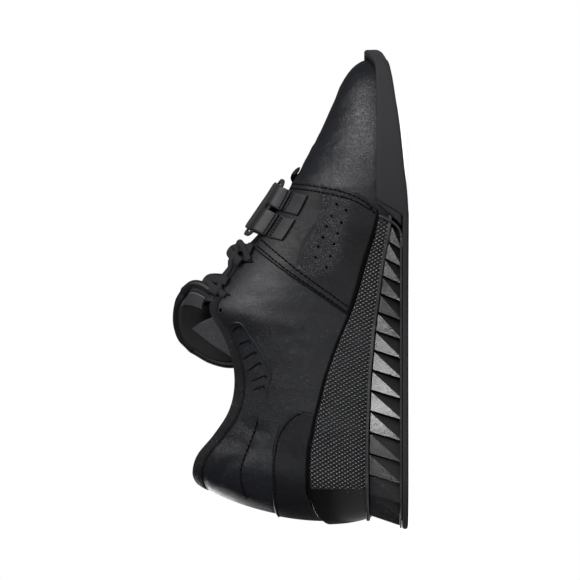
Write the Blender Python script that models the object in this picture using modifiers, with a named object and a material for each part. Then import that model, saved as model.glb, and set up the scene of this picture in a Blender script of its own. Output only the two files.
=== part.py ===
"""Weightlifting shoe for the left foot: a hollow leather upper on a raised, faceted heel.

Metres, +X to the toe, +Z up, medial side at -Y. Each curved piece is worked out from one
skin, the outer face of the upper: skin(u, v) gives its point at the place u round the foot
(0 at the back of the heel, ROWS at the toe, negative on the medial side) and v up the wall
(0 at the foot line, 1 at the collar, the throat or the ridge of the vamp).
"""
import bmesh
import bpy
import numpy as np

# Driving sizes
LENGTH = 0.300
BALL_WIDTH = 0.108
INSTEP = 0.100
GAP = 0.0003
WALL = 0.002
OUTSOLE_HEEL = 0.0035
SIDE_WALL = 0.0048
STABILISER_WALL = 0.0030
FLANGE = 0.0020
OVERLAY = 0.0013
INSOLE_THICKNESS = 0.0042
LINING_THICKNESS = 0.0046
TONGUE_THICKNESS = 0.0055
STRAP_THICKNESS = 0.0015
TAB_THICKNESS = 0.0012
RING_THICKNESS = 0.0018
RING_BAR = 0.0032
LACE_WIDTH = 0.0058
LACE_THICKNESS = 0.0022
TEETH_A_SIDE = 17
TOOTH_DEPTH = 0.0050

# Plan of the sole's edge, heel to toe: share of LENGTH, then shares of BALL_WIDTH
# to the medial and to the lateral side
PLAN = np.array([
    [0.007, 0.000, 0.000],
    [0.017, 0.157, 0.157],
    [0.047, 0.269, 0.269],
    [0.097, 0.343, 0.343],
    [0.150, 0.361, 0.366],
    [0.200, 0.361, 0.370],
    [0.253, 0.352, 0.375],
    [0.307, 0.343, 0.380],
    [0.360, 0.338, 0.389],
    [0.403, 0.338, 0.403],
    [0.447, 0.343, 0.417],
    [0.503, 0.361, 0.444],
    [0.570, 0.403, 0.481],
    [0.633, 0.454, 0.509],
    [0.683, 0.486, 0.514],
    [0.730, 0.500, 0.500],
    [0.780, 0.500, 0.463],
    [0.830, 0.481, 0.412],
    [0.880, 0.446, 0.356],
    [0.932, 0.386, 0.273],
    [0.976, 0.272, 0.140],
    [1.000, 0.083, -0.083],
])
ROWS = len(PLAN) - 1
VAMP_ROW = 15

# Top line of the upper, row for row with PLAN: share of LENGTH, half gap as a share of
# BALL_WIDTH, height as a share of INSTEP, lean of the wall at its foot and slope at the top
# in degrees, reach of the curve from the foot and from the top
TOP = np.array([
    [0.083, 0.000, 1.310, 28, 60, 0.25, 0.30],
    [0.090, 0.100, 1.320, 22, 60, 0.27, 0.30],
    [0.120, 0.185, 1.330, 14, 62, 0.31, 0.30],
    [0.160, 0.225, 1.290, 9, 66, 0.34, 0.30],
    [0.205, 0.245, 1.180, 7, 74, 0.36, 0.30],
    [0.253, 0.262, 1.085, 6, 76, 0.36, 0.30],
    [0.303, 0.273, 1.045, 5, 74, 0.36, 0.30],
    [0.357, 0.275, 1.055, 4, 70, 0.36, 0.32],
    [0.413, 0.262, 1.120, 3, 62, 0.37, 0.34],
    [0.463, 0.232, 1.210, 3, 52, 0.38, 0.36],
    [0.500, 0.210, 1.165, 3, 46, 0.39, 0.36],
    [0.550, 0.190, 1.055, 4, 42, 0.40, 0.36],
    [0.613, 0.178, 0.910, 6, 38, 0.41, 0.36],
    [0.677, 0.165, 0.785, 8, 32, 0.42, 0.36],
    [0.730, 0.135, 0.700, 10, 22, 0.42, 0.36],
    [0.767, 0.000, 0.655, 11, 0, 0.42, 0.36],
    [0.797, 0.000, 0.605, 11, 0, 0.42, 0.37],
    [0.823, 0.000, 0.560, 10, 0, 0.42, 0.38],
    [0.852, 0.000, 0.518, 8, 0, 0.42, 0.39],
    [0.880, 0.000, 0.480, 5, 0, 0.42, 0.40],
    [0.907, 0.000, 0.448, 2, 0, 0.42, 0.40],
    [0.927, 0.000, 0.425, 0, 0, 0.42, 0.40],
])

# Levels of the sole along its length: share of LENGTH, then in metres the tread, the seat of
# the upper and the insole, and the top of the outsole's side
LEVELS = np.array([
    [0.000, 0.0000, 0.0230, 0.0035],
    [0.150, 0.0000, 0.0230, 0.0035],
    [0.277, 0.0000, 0.0222, 0.0035],
    [0.380, 0.0000, 0.0203, 0.0035],
    [0.490, 0.0000, 0.0166, 0.0035],
    [0.577, 0.0000, 0.0130, 0.0035],
    [0.640, 0.0000, 0.0094, 0.0035],
    [0.657, 0.0003, 0.0091, 0.0092],
    [0.683, 0.0008, 0.0088, 0.0184],
    [0.737, 0.0026, 0.0094, 0.0186],
    [0.783, 0.0040, 0.0105, 0.0184],
    [0.830, 0.0056, 0.0120, 0.0184],
    [0.870, 0.0074, 0.0140, 0.0186],
    [0.937, 0.0104, 0.0168, 0.0192],
    [0.973, 0.0126, 0.0188, 0.0225],
    [1.000, 0.0146, 0.0205, 0.0270],
])
COLUMN = {"tread": 1, "seat": 2, "side_top": 3}

# Upper edge of the stabiliser: share of LENGTH and height
BAND_TOP = np.array([
    [0.000, 0.0440],
    [0.030, 0.0500],
    [0.075, 0.0570],
    [0.120, 0.0595],
    [0.170, 0.0590],
    [0.220, 0.0565],
    [0.290, 0.0520],
    [0.350, 0.0470],
    [0.440, 0.0365],
    [0.490, 0.0310],
    [0.560, 0.0250],
    [0.620, 0.0192],
    [0.655, 0.0164],
])

# Free edges of the tongue, which has slipped to the lateral side: shares of LENGTH, BALL_WIDTH
# and INSTEP. The medial and the lateral edge run from the throat to the tip.
TONGUE_MEDIAL = np.array([
    [0.466, -0.192, 1.185],
    [0.472, -0.164, 1.255],
    [0.493, -0.148, 1.325],
    [0.513, -0.135, 1.380],
    [0.505, -0.120, 1.430],
])
TONGUE_LATERAL = np.array([
    [0.415, 0.196, 1.060],
    [0.350, 0.176, 1.050],
    [0.334, 0.165, 1.160],
    [0.342, 0.155, 1.310],
    [0.363, 0.140, 1.440],
])
TONGUE_TIP = np.array([
    [0.505, -0.120, 1.430],
    [0.482, -0.046, 1.493],
    [0.453, 0.019, 1.530],
    [0.423, 0.070, 1.546],
    [0.392, 0.110, 1.505],
    [0.363, 0.140, 1.440],
])
TONGUE_BELLY = 0.0060
BAND_FRONT = 13.2
BLOCK_FRONT = 12.9
HEEL_PITCH = 1.20


def column(table, index, at):
    """Value of a table's column at the places given, a smooth curve with no overshoot."""
    x = table[:, 0]
    y = table[:, index]
    at = np.clip(np.asarray(at, float), x[0], x[-1])
    step = np.diff(x)
    rise = np.diff(y) / step
    slope = np.concatenate([rise[:1], np.zeros(len(x) - 2), rise[-1:]])
    both = rise[1:] * rise[:-1]
    total = np.where(both > 0, rise[1:] + rise[:-1], 1.0)
    slope[1:-1] = np.where(both > 0, 2 * both / total, 0.0)
    k = np.clip(np.searchsorted(x, at, side="right") - 1, 0, len(x) - 2)
    t = (at - x[k]) / step[k]
    a = y[k] + t * step[k] * slope[k]
    b = y[k + 1] - (1 - t) * step[k] * slope[k + 1]
    blend = t * t * (3 - 2 * t)
    return a * (1 - blend) + b * blend


def level(name, x):
    """Height of the tread, the seat or the side's top at a distance from the heel."""
    return column(LEVELS, COLUMN[name], np.asarray(x) / LENGTH)


def around(medial, lateral, u):
    """Smooth closed curve through one value a row on each side, at the signed place u."""
    ring = np.concatenate([lateral, medial[-2:0:-1]])
    u = np.asarray(u, float)
    base = np.floor(u).astype(int)
    t = u - base
    p = [ring[(base + k) % len(ring)] for k in (-1, 0, 1, 2)]
    return 0.5 * (2 * p[1] + (p[2] - p[0]) * t + (2 * p[0] - 5 * p[1] + 4 * p[2] - p[3]) * t ** 2
                  + (3 * p[1] - p[0] - 3 * p[2] + p[3]) * t ** 3)


def edge(u):
    """Plan of the sole's edge and the direction out of it."""
    def place(at):
        x = around(PLAN[:, 0], PLAN[:, 0], at) * LENGTH
        y = around(-PLAN[:, 1], PLAN[:, 2], at) * BALL_WIDTH
        return np.stack([x, y], -1)
    along = place(np.asarray(u) + 0.01) - place(np.asarray(u) - 0.01)
    out = np.stack([-along[..., 1], along[..., 0]], -1)
    return place(u), out / np.linalg.norm(out, axis=-1, keepdims=True)


def inset(u, distance):
    """Plan of the sole's edge moved in by a distance."""
    xy, out = edge(u)
    return xy - out * np.asarray(distance)[..., None]


def margin(u):
    """Distance in plan from the sole's edge to the foot line of the upper."""
    a = np.abs(u)
    front = SIDE_WALL + GAP
    heel = STABILISER_WALL + GAP + 0.0024 + 0.0044 * np.exp(-(a / 2.2) ** 2)
    return heel + (front - heel) * np.clip((a - 8) / 5, 0, 1)


def ridge(x):
    """Sideways place of the top of the vamp, which turns to the medial side at the toe."""
    t = np.clip((np.asarray(x) / LENGTH - 0.5) / 0.45, 0, 1)
    return -0.085 * BALL_WIDTH * t * t * (3 - 2 * t)


def rib(u):
    """The four control points of the upper's wall at the place u."""
    u = np.asarray(u, float)
    _, out = edge(u)
    foot_xy = inset(u, margin(u))
    foot = np.concatenate([foot_xy, (level("seat", foot_xy[..., 0]) + GAP)[..., None]], -1)
    row = [around(TOP[:, k], TOP[:, k], u) for k in range(7)]
    side = np.sign(u)
    half = np.clip(around(-TOP[:, 1], TOP[:, 1], u) * side, 0, None) * side
    half = np.where(np.abs(u) >= VAMP_ROW, 0.0, half)
    x = row[0] * LENGTH
    top = np.stack([x, ridge(x) + half * BALL_WIDTH, row[2] * INSTEP], -1)
    drop = np.where(np.abs(u) >= VAMP_ROW - 1, -0.55, 0.0)
    away = np.stack([out[..., 0], out[..., 1], out[..., 0] * drop], -1)
    away /= np.linalg.norm(away, axis=-1, keepdims=True)
    span = top - foot
    flat = np.concatenate([out, np.zeros_like(out[..., :1])], -1)
    rise = span - (span * flat).sum(-1, keepdims=True) * flat
    rise /= np.linalg.norm(rise, axis=-1, keepdims=True)
    reach = np.linalg.norm(span, axis=-1, keepdims=True)
    lean = np.radians(row[3])[..., None]
    slope = np.radians(row[4])[..., None]
    first = foot + row[5][..., None] * reach * (flat * np.sin(lean) + rise * np.cos(lean))
    second = top + row[6][..., None] * reach * (away * np.cos(slope) - rise * np.sin(slope))
    return foot, first, second, top


def skin(u, v):
    """Outer face of the upper."""
    u, v = np.broadcast_arrays(np.asarray(u, float), np.asarray(v, float))
    a, b, c, d = rib(u)
    t = v[..., None]
    return a * (1 - t) ** 3 + 3 * b * t * (1 - t) ** 2 + 3 * c * t * t * (1 - t) + d * t ** 3


def outward(u, v):
    """Direction out of the upper's outer face."""
    step = 0.01
    u, v = np.broadcast_arrays(np.asarray(u, float), np.asarray(v, float))
    low = np.clip(v - step, 0, 1)
    high = np.clip(v + step, 0, 1)
    along = skin(u + step, v) - skin(u - step, v)
    up = skin(u, high) - skin(u, low)
    normal = np.cross(up, along)
    return normal / np.linalg.norm(normal, axis=-1, keepdims=True)


def off(u, v, distance):
    """Point at a distance out from the upper's outer face."""
    return skin(u, v) + outward(u, v) * np.asarray(distance)[..., None]


def height_on(u, limit):
    """Place up the wall where it reaches a height that depends on the distance from the heel."""
    steps = np.linspace(0, 1, 201)
    points = skin(np.asarray(u)[:, None], steps[None, :])
    over = points[..., 2] - limit(points[..., 0])
    first = np.argmax(over > 0, axis=1)
    return steps[np.clip(first, 1, 200)]


# Places round the foot where the pieces have a rib
SIDE_PLACES = np.concatenate([np.linspace(0, VAMP_ROW, 26), np.linspace(VAMP_ROW, ROWS, 10)[1:]])
RING = np.concatenate([SIDE_PLACES[:-1], -SIDE_PLACES[:0:-1]])


def material(name, colour, roughness, metallic=0.0):
    """Principled material of one slot."""
    made = bpy.data.materials.new(name)
    made.use_nodes = True
    shader = made.node_tree.nodes["Principled BSDF"]
    shader.inputs["Base Color"].default_value = (*colour, 1.0)
    shader.inputs["Roughness"].default_value = roughness
    shader.inputs["Metallic"].default_value = metallic
    return made


def middle():
    """Middle of the sole's plan, which becomes the origin."""
    xy = edge(RING)[0]
    return np.append((xy.min(0) + xy.max(0)) / 2, 0.0)


def add(name, points, faces, slot, smooth=True, closed=True):
    """Object made from points and faces, with the origin under the middle of the sole."""
    mesh = bpy.data.meshes.new(name)
    moved = np.asarray(points, float) - middle()
    mesh.from_pydata(moved.tolist(), [], [list(map(int, f)) for f in faces])
    if closed:
        work = bmesh.new()
        work.from_mesh(mesh)
        bmesh.ops.recalc_face_normals(work, faces=work.faces)
        work.to_mesh(mesh)
        work.free()
    mesh.polygons.foreach_set("use_smooth", [smooth] * len(mesh.polygons))
    mesh.materials.append(slot)
    made = bpy.data.objects.new(name, mesh)
    bpy.data.collections["weightlifting_shoe"].objects.link(made)
    return made


def stacked(loops, first=0):
    """Walls between closed loops of the same count, with both ends filled across the foot.

    Point i is filled across to point first - i, so first is 0 where a loop starts on the
    middle line and -1 where its first and last points lie on either side of it.
    """
    count = len(loops[0])
    faces = []
    for k in range(len(loops) - 1):
        for i in range(count):
            j = (i + 1) % count
            faces.append([k * count + i, k * count + j, (k + 1) * count + j, (k + 1) * count + i])
    for base in (0, (len(loops) - 1) * count):
        for i in range(count // 2 + first):
            face = [base + n % count for n in (i, i + 1, first - i - 1, first - i)]
            faces.append(list(dict.fromkeys(face)))
    return np.concatenate(loops), faces


def strip(sections, ring=False):
    """Walls between sections that are closed loops, with the two ends filled."""
    count, size = sections.shape[:2]
    faces = []
    for k in range(count if ring else count - 1):
        n = (k + 1) % count
        for i in range(size):
            j = (i + 1) % size
            faces.append([k * size + i, k * size + j, n * size + j, n * size + i])
    if not ring:
        faces.append(list(range(size)))
        faces.append(list(range((count - 1) * size, count * size)))
    return sections.reshape(-1, 3), faces


def outsole(slot):
    """Tread plate, forefoot side wall, toe bumper and toe spring in one piece."""
    def loop(distance, name, lift=0.0):
        xy = inset(RING, np.full(len(RING), distance))
        edge_x = edge(RING)[0][:, 0]
        least = level("tread", edge_x) + OUTSOLE_HEEL * (name != "tread")
        z = np.maximum(level(name, edge_x), least)
        return np.concatenate([xy, (z + lift)[:, None]], -1)

    def floor(made):
        x = made[:, 0]
        fore = np.clip((x / LENGTH - 0.641) / 0.015, 0, 1)
        made[:, 2] = OUTSOLE_HEEL + (level("seat", x) - OUTSOLE_HEEL) * fore
        return made

    rim = loop(0.0006, "side_top")
    clear = GAP + 0.0003
    fore = np.clip((np.abs(RING) - BAND_FRONT) / 0.5, 0, 1)[:, None]
    at_rim = height_on(RING, lambda x: level("side_top", x))
    inner_rim = off(RING, at_rim, clear)
    inner_rim[:, 2] = rim[:, 2]
    inner_foot = off(RING, np.zeros(len(RING)), clear)
    inner_rim = fore * inner_rim + (1 - fore) * loop(SIDE_WALL - 0.0006, "side_top")
    inner_foot = floor(fore * inner_foot + (1 - fore) * loop(SIDE_WALL + 0.0001, "tread"))
    loops = [loop(0.0024, "tread"), loop(0.0006, "tread", 0.0012), loop(0.0, "side_top", -0.0014),
             rim, inner_rim, inner_foot]
    loops[2][:, 2] = np.maximum(loops[2][:, 2], loops[1][:, 2] + 0.0008)
    return add("outsole", *stacked(loops), slot)


def upper(slot):
    """Vamp, quarters and heel as one leather shell, open at collar, throat and foot line."""
    levels = np.concatenate([np.linspace(0, 0.8, 8), [0.9, 1.0]])
    count, high = len(RING), len(levels)
    grid = skin(RING[:, None], levels[None, :])
    closed = np.abs(RING) >= VAMP_ROW - 1e-9
    index = np.arange(count * high).reshape(count, high)
    for i in range(count):
        if closed[i] and RING[i] < 0 and abs(RING[i]) < ROWS:
            index[i, -1] = index[count - i, -1]
    used, packed = np.unique(index, return_inverse=True)
    index = packed.reshape(index.shape)
    points = grid.reshape(-1, 3)[used]
    faces = []
    for i in range(count):
        j = (i + 1) % count
        for k in range(high - 1):
            faces.append([index[i, k], index[i, k + 1], index[j, k + 1], index[j, k]])
    shell = add("upper", points, faces, slot, closed=False)
    thick = shell.modifiers.new("wall", "SOLIDIFY")
    thick.thickness = WALL
    thick.offset = -1
    thick.use_even_offset = True
    return shell


def insole(slot):
    """Removable foot bed that follows the seat."""
    inner = margin(RING) + WALL + 0.0012

    def loop(extra, lift):
        xy = inset(RING, inner + extra)
        return np.concatenate([xy, (level("seat", xy[:, 0]) + lift)[:, None]], -1)
    loops = [loop(0.0008, GAP), loop(0.0, GAP + 0.0008), loop(0.0, INSOLE_THICKNESS - 0.001),
             loop(0.0015, INSOLE_THICKNESS)]
    return add("insole", *stacked(loops), slot)


def heel_block(slot):
    """Hard wedge with a row of folded triangular facets round its side, like saw teeth.

    The teeth grow from the arch to the heel: a tooth's pitch is the mean one times a share
    that runs evenly from 2 - HEEL_PITCH at the front to HEEL_PITCH at the back.
    """
    fine = np.linspace(0, BLOCK_FRONT, 400)

    def along(side):
        xy, _ = edge(side * fine)
        return np.concatenate([[0], np.cumsum(np.linalg.norm(np.diff(xy, axis=0), axis=1))])
    halves = []
    for side in (1, -1):
        length = along(side)
        total = length[-1] - 0.001
        pitch = total / (TEETH_A_SIDE + 0.5)
        share = (np.arange(TEETH_A_SIDE + 1) + 0.5) / (TEETH_A_SIDE + 0.5)
        steps = (HEEL_PITCH * share + (1 - HEEL_PITCH) * share ** 2) * total
        groove = 0.0009
        back = min(0.0050, 0.42 * pitch)
        rear, front = steps[:-1] + groove / 2, steps[1:] - groove / 2
        upper_s = np.concatenate([[steps[0] - groove / 2], np.stack([rear, front], 1).ravel()])
        lower_s = np.concatenate([[0.001], np.stack([rear - back, front - back], 1).ravel()])
        deep = np.concatenate([[0.0], np.tile([0.0, TOOTH_DEPTH * 0.35], TEETH_A_SIDE)])
        deeper = np.concatenate([[0.0], np.tile([0.0, TOOTH_DEPTH], TEETH_A_SIDE)])
        core = TOOTH_DEPTH + 0.004
        rows = []
        short = np.concatenate([np.zeros(2 * TEETH_A_SIDE), [0.004]])
        for place, depth, flare in ((lower_s - short, core, 0.0), (lower_s, deeper, 0.0),
                                    (upper_s, deep, 1.0), (upper_s - short, core, 1.0)):
            u = side * np.interp(place, length, fine)
            rear_cut = 0.0015 + flare * 0.0052 * np.exp(-(u / 2.4) ** 2)
            rows.append(inset(u, rear_cut + depth))
        halves.append(rows)
    loops = []
    for k in range(4):
        xy = np.concatenate([halves[0][k], halves[1][k][::-1]])
        z = np.full(len(xy), OUTSOLE_HEEL + GAP) if k < 2 else level("seat", xy[:, 0]) - GAP
        loops.append(np.concatenate([xy, z[:, None]], -1))
    points, faces = stacked(loops, -1)
    count = len(loops[0])
    split = []
    for face in faces:
        if len(face) == 4 and count <= face[0] < 2 * count <= face[2] and face[3] - face[0] == count:
            i, j, far_j, far_i = face
            if i - count < count // 2:
                split += [[i, j, far_j], [i, far_j, far_i]]
            else:
                split += [[j, far_j, far_i], [i, j, far_i]]
        else:
            split.append(face)
    return add("heel_block", points, split, slot, smooth=False)


def stabiliser(slot):
    """Band from the arch round the heel, with a flange along its foot and a rounded top."""
    u = np.sort(RING[np.abs(RING) <= BAND_FRONT + 1e-6])
    limit = height_on(u, lambda x: column(BAND_TOP, 1, x / LENGTH))
    full = GAP + STABILISER_WALL
    base = skin(u, 0 * u)
    seat = level("seat", base[:, 0]) + GAP

    def at(share, distance, lift=None):
        points = off(u, limit * share, distance + 0 * u)
        if lift is not None:
            points[:, 2] = seat + lift
        return points
    ledge = full + 0.0018 * np.clip((BAND_FRONT + 0.3 - np.abs(u)) / 2, 0.1, 1)
    near = GAP + 0.0002
    sections = [at(0, near, 0), at(0.33, near), at(0.66, near), at(1, near), at(1, full - 0.0012),
                at(0.94, full - 0.0002), at(0.66, full), at(0.33, full),
                at(0.12, full, FLANGE + 0.0004), at(0.04, ledge, FLANGE), at(0, ledge, 0)]
    return add("heel_stabiliser", *strip(np.stack(sections, 1)), slot)


def plate(name, places, share, inner, outer, slot):
    """Panel that lies off the skin between two distances, on a grid of places and shares."""
    rows, cols = places.shape
    outside = off(places, share, np.full(places.shape, outer))
    inside = off(places, share, np.full(places.shape, inner))
    points = np.concatenate([outside.reshape(-1, 3), inside.reshape(-1, 3)])
    half = rows * cols
    faces = []
    for i in range(rows - 1):
        for j in range(cols - 1):
            a, b, c, d = i * cols + j, i * cols + j + 1, (i + 1) * cols + j + 1, (i + 1) * cols + j
            faces.append([a, b, c, d])
            faces.append([half + a, half + d, half + c, half + b])
    rim = ([j for j in range(cols)] + [i * cols + cols - 1 for i in range(1, rows)]
           + [(rows - 1) * cols + j for j in range(cols - 2, -1, -1)]
           + [i * cols for i in range(rows - 2, 0, -1)])
    for a, b in zip(rim, rim[1:] + rim[:1]):
        faces.append([a, half + a, half + b, b])
    return add(name, points, faces, slot)


def saddle_foot(u):
    """Share of the wall where a side panel starts, clear of the band and the side wall."""
    beside = np.abs(np.asarray(u))[:, None] < BAND_FRONT + 0.2

    def limit(x):
        band = column(BAND_TOP, 1, x / LENGTH) + 0.0012
        wall = np.maximum(level("side_top", x), level("side_top", 0.7 * LENGTH)) + 0.0009
        return np.where(beside, band, wall)
    return height_on(u, limit)


def saddle(name, side, slot):
    """Overlay at the midfoot, cut along its two slanted seams, that carries the strap."""
    share = np.linspace(0, 1, 11)[None, :]
    part = np.linspace(0, 1, 10)[:, None]
    rear = 9.93 + 2.85 * share - 1.13 * share ** 2
    front = 13.9 + 0.48 * share * (1 - share) - 0.5 * np.exp(-10.5 * share)
    places = side * (rear + (front - rear) * part)
    foot = saddle_foot(places.ravel()).reshape(places.shape)
    up = foot + (0.955 - foot) * share
    return plate(name, places, up, GAP + 0.0001, GAP + 0.0001 + OVERLAY, slot)


COUNTER_TOP = np.array([
    [0.000, 0.0815],
    [0.170, 0.0810],
    [0.215, 0.0785],
    [0.245, 0.0730],
    [0.265, 0.0660],
    [0.280, 0.0590],
])


def heel_counter(slot):
    """Overlay round the back of the heel above the band, with a rounded front corner."""
    ends = np.linspace(-5.7, 5.7, 31)
    places = np.repeat(ends[:, None], 6, 1)
    low = height_on(ends, lambda x: column(BAND_TOP, 1, x / LENGTH) + 0.0010)
    high = height_on(ends, lambda x: column(COUNTER_TOP, 1, x / LENGTH))
    high = np.maximum(high, low + 0.03)
    share = low[:, None] + (high - low)[:, None] * np.linspace(0, 1, 6)[None, :]
    return plate("heel_counter", places, share, GAP + 0.0001, GAP + 0.0001 + OVERLAY * 0.7, slot)


def collar_lining(slot):
    """Padded lining inside the collar, from one corner of the throat round the heel."""
    u = np.sort(RING[np.abs(RING) <= 8.41])
    deep = 0.030
    wall = skin(u, 1 + 0 * u) - skin(u, 0 * u)
    low = 1 - deep / np.linalg.norm(wall, axis=1)
    near = WALL + GAP + 0.0003
    ease = np.clip((8.9 - np.abs(u)) / 2.5, 0.35, 1)
    pad = LINING_THICKNESS * ease

    def at(share, distance, lift=0.0):
        points = off(u, low + (1 - low) * share, -distance)
        points[:, 2] += lift
        return points
    flush = near + 0 * u
    sections = [at(0, flush), at(0.5, flush), at(1, flush), at(1, flush + 0.0004, 0.0014),
                at(1, near + 0.7 * pad, 0.0012), at(0.9, near + pad), at(0.5, near + pad),
                at(0.15, near + 0.55 * pad), at(0, flush + 0.0012)]
    return add("collar_lining", *strip(np.stack(sections, 1)), slot)


def across(s, w, distance):
    """Point over the instep: rib s, signed way from the middle of the throat, distance out.

    Past the edge of the throat it lies on the skin of that side. Between the two edges it
    follows an arch that carries on the slope of both walls.
    """
    s, w, distance = np.broadcast_arrays(*(np.asarray(k, float) for k in (s, w, distance)))
    side = np.where(w < 0, -1.0, 1.0)
    edges = [skin(k * s, 1.0) for k in (-1, 1)]
    gap = 0.5 * np.linalg.norm(edges[1] - edges[0], axis=-1)
    foot, _, _, top = rib(side * s)
    reach = np.linalg.norm(top - foot, axis=-1) * 1.12
    past = np.clip((np.abs(w) - gap) / reach, 0, 1)
    on_wall = off(side * s, 1 - past, distance)
    ends, slopes = [], []
    for k in (-1, 1):
        tip = off(k * s, 1.0 + 0 * s, distance)
        slope = tip - off(k * s, 0.97 + 0 * s, distance)
        ends.append(tip)
        slopes.append(slope / np.linalg.norm(slope, axis=-1, keepdims=True))
    t = np.clip((w / np.maximum(gap, 1e-6) + 1) / 2, 0, 1)[..., None]
    chord = 0.38 * np.linalg.norm(ends[1] - ends[0], axis=-1, keepdims=True)
    p1 = ends[0] + slopes[0] * chord
    p2 = ends[1] + slopes[1] * chord
    arch = ends[0] * (1 - t) ** 3 + 3 * p1 * t * (1 - t) ** 2 + 3 * p2 * t * t * (1 - t) + ends[1] * t ** 3
    return np.where((np.abs(w) < gap)[..., None], arch, on_wall)


def thicken(grid, thickness):
    """Closed sections of a sheet with the grid as its outer face: rows along it."""
    along = np.gradient(grid, axis=0)
    over = np.gradient(grid, axis=1)
    normal = np.cross(over, along)
    normal /= np.linalg.norm(normal, axis=-1, keepdims=True)
    inner = grid - normal * np.asarray(thickness)[..., None]
    return np.concatenate([grid, inner[:, ::-1]], axis=1)


def through(points, share):
    """Smooth curve through a few points, at shares of the way along."""
    points = np.asarray(points)
    at = np.asarray(share) * (len(points) - 1)
    base = np.clip(np.floor(at).astype(int), 0, len(points) - 2)
    t = (at - base)[:, None]
    p = [points[np.clip(base + k, 0, len(points) - 1)] for k in (-1, 0, 1, 2)]
    return 0.5 * (2 * p[1] + (p[2] - p[0]) * t + (2 * p[0] - 5 * p[1] + 4 * p[2] - p[3]) * t ** 2
                  + (3 * p[1] - p[0] - 3 * p[2] + p[3]) * t ** 3)


def tongue_grid(across_count=15):
    """Outer face of the tongue: under the vamp, under the throat, then the free hood.

    The hood is a patch between four curves: the last row under the throat, the two edges and
    the tip. It bulges forwards and to the lateral side.
    """
    c = np.linspace(-1, 1, across_count)
    ribs = np.linspace(15.7, 9.5, 13)
    rows = []
    for s in ribs:
        gap = 0.5 * np.linalg.norm(skin(s, 1.0) - skin(-s, 1.0))
        half = gap + 0.0085
        row = across(np.full(len(c), s), c * half, -(WALL + GAP + 0.0010))
        inside = np.clip(1 - (c * half / max(gap, 1e-4)) ** 2, 0, 1) ** 1.5
        puff = 0.0040 * np.clip((12.6 - s) / 1.4, 0, 1) * inside
        row += np.array([0.6, 0.0, 0.8]) * puff[:, None]
        rows.append(row)
    start = rows[-1]
    size = np.array([LENGTH, BALL_WIDTH, INSTEP])
    f = np.linspace(0, 1, 9)[1:]
    medial = through(np.concatenate([start[:1], TONGUE_MEDIAL * size]), f)
    lateral = through(np.concatenate([start[-1:], TONGUE_LATERAL * size]), f)
    share = (c + 1) / 2
    tip = through(TONGUE_TIP * size, share)
    s = share[None, :, None]
    f = f[:, None, None]
    hood = (1 - s) * medial[:, None] + s * lateral[:, None] + (1 - f) * start + f * tip
    hood -= (1 - f) * ((1 - s) * start[0] + s * start[-1]) + f * ((1 - s) * tip[0] + s * tip[-1])
    bulge = 4 * f * (1 - f) * (1 - (2 * s - 1) ** 2) * TONGUE_BELLY
    hood += bulge * np.array([0.35, 0.85, 0.20])
    return np.concatenate([np.array(rows), hood])


def tongue(slot):
    """Padded tongue, thin along its edges and its root."""
    grid = tongue_grid()
    c = np.linspace(-1, 1, grid.shape[1])
    k = np.linspace(0, 1, grid.shape[0])
    sides = 0.42 + 0.58 * np.sqrt(np.clip(1 - c ** 4, 0, 1))
    length = np.clip(0.35 + k * 2.2, 0, 1)
    ends = np.where(k > 0.93, 0.75, 1.0)
    thickness = TONGUE_THICKNESS * sides[None, :] * (length * ends)[:, None]
    return add("tongue", *strip(thicken(grid, thickness)), slot)


def ribbon(s_from, s_to, path, thickness, count):
    """Strip whose middle line follows (way across, distance) points, between two ribs."""
    path = np.array(path)
    s = np.linspace(s_from, s_to, count)
    along = np.gradient(path, axis=0)
    along /= np.linalg.norm(along, axis=1, keepdims=True)
    normal = np.stack([-along[:, 1], along[:, 0]], 1)
    faces = [path + normal * thickness / 2, path - normal * thickness / 2]
    grids = [across(s[None, :], f[:, 0][:, None], f[:, 1][:, None]) for f in faces]
    return np.concatenate([grids[0], grids[1][:, ::-1]], axis=1)


RING_RIBS = (11.92, 13.72)
RING_WAYS = (-0.0062, -0.0168)
RING_OUT = 0.0050
FREE = 0.0019


def folded(way, turn, thickness, lower, tail):
    """Points of a fold round a bar of the ring: lower layer, turn, then upper layer."""
    out = turn * (RING_BAR / 2 + thickness / 2 + 0.0006)
    rise = RING_THICKNESS / 2 + thickness / 2 + 0.0004
    return [(way - out * 0.9, lower), (way + 0.55 * out, lower + 0.0001),
            (way + out, RING_OUT - 0.45 * rise), (way + out * 1.12, RING_OUT),
            (way + out, RING_OUT + 0.5 * rise), (way + 0.5 * out, RING_OUT + rise),
            (way - 0.9 * out, RING_OUT + rise)] + tail


def strap(slot):
    """Instep strap: up from the lateral side, round the ring and back over itself."""
    lower = FREE + STRAP_THICKNESS / 2
    ways = (0.070, 0.060, 0.050, 0.040, 0.032, 0.024, 0.017, 0.011, 0.006, 0.001)
    lateral = [(way, lower) for way in ways]
    tail = [(0.002, RING_OUT + 0.0010), (0.009, RING_OUT + 0.0002), (0.017, 0.0046),
            (0.025, 0.0046), (0.033, 0.0046)]
    path = lateral + folded(RING_WAYS[0], -1, STRAP_THICKNESS, lower, tail)
    sections = ribbon(RING_RIBS[0] + 0.12, RING_RIBS[1] - 0.12, path, STRAP_THICKNESS, 7)
    return add("strap", *strip(sections), slot)


def webbing_tab(name, s_from, s_to, slot):
    """Tab stitched to the saddle that folds round the lower bar of the ring."""
    lower = FREE + TAB_THICKNESS / 2
    rise = lower + TAB_THICKNESS + 0.0005
    flat = [(w, lower) for w in (-0.043, -0.037, -0.031, -0.025, -0.0205)]
    tail = [(-0.0225, RING_OUT + 0.0002), (-0.0260, rise), (-0.0290, rise)]
    path = flat + folded(RING_WAYS[1], 1, TAB_THICKNESS, lower, tail)
    return add(name, *strip(ribbon(s_from, s_to, path, TAB_THICKNESS, 4)), slot)


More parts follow.
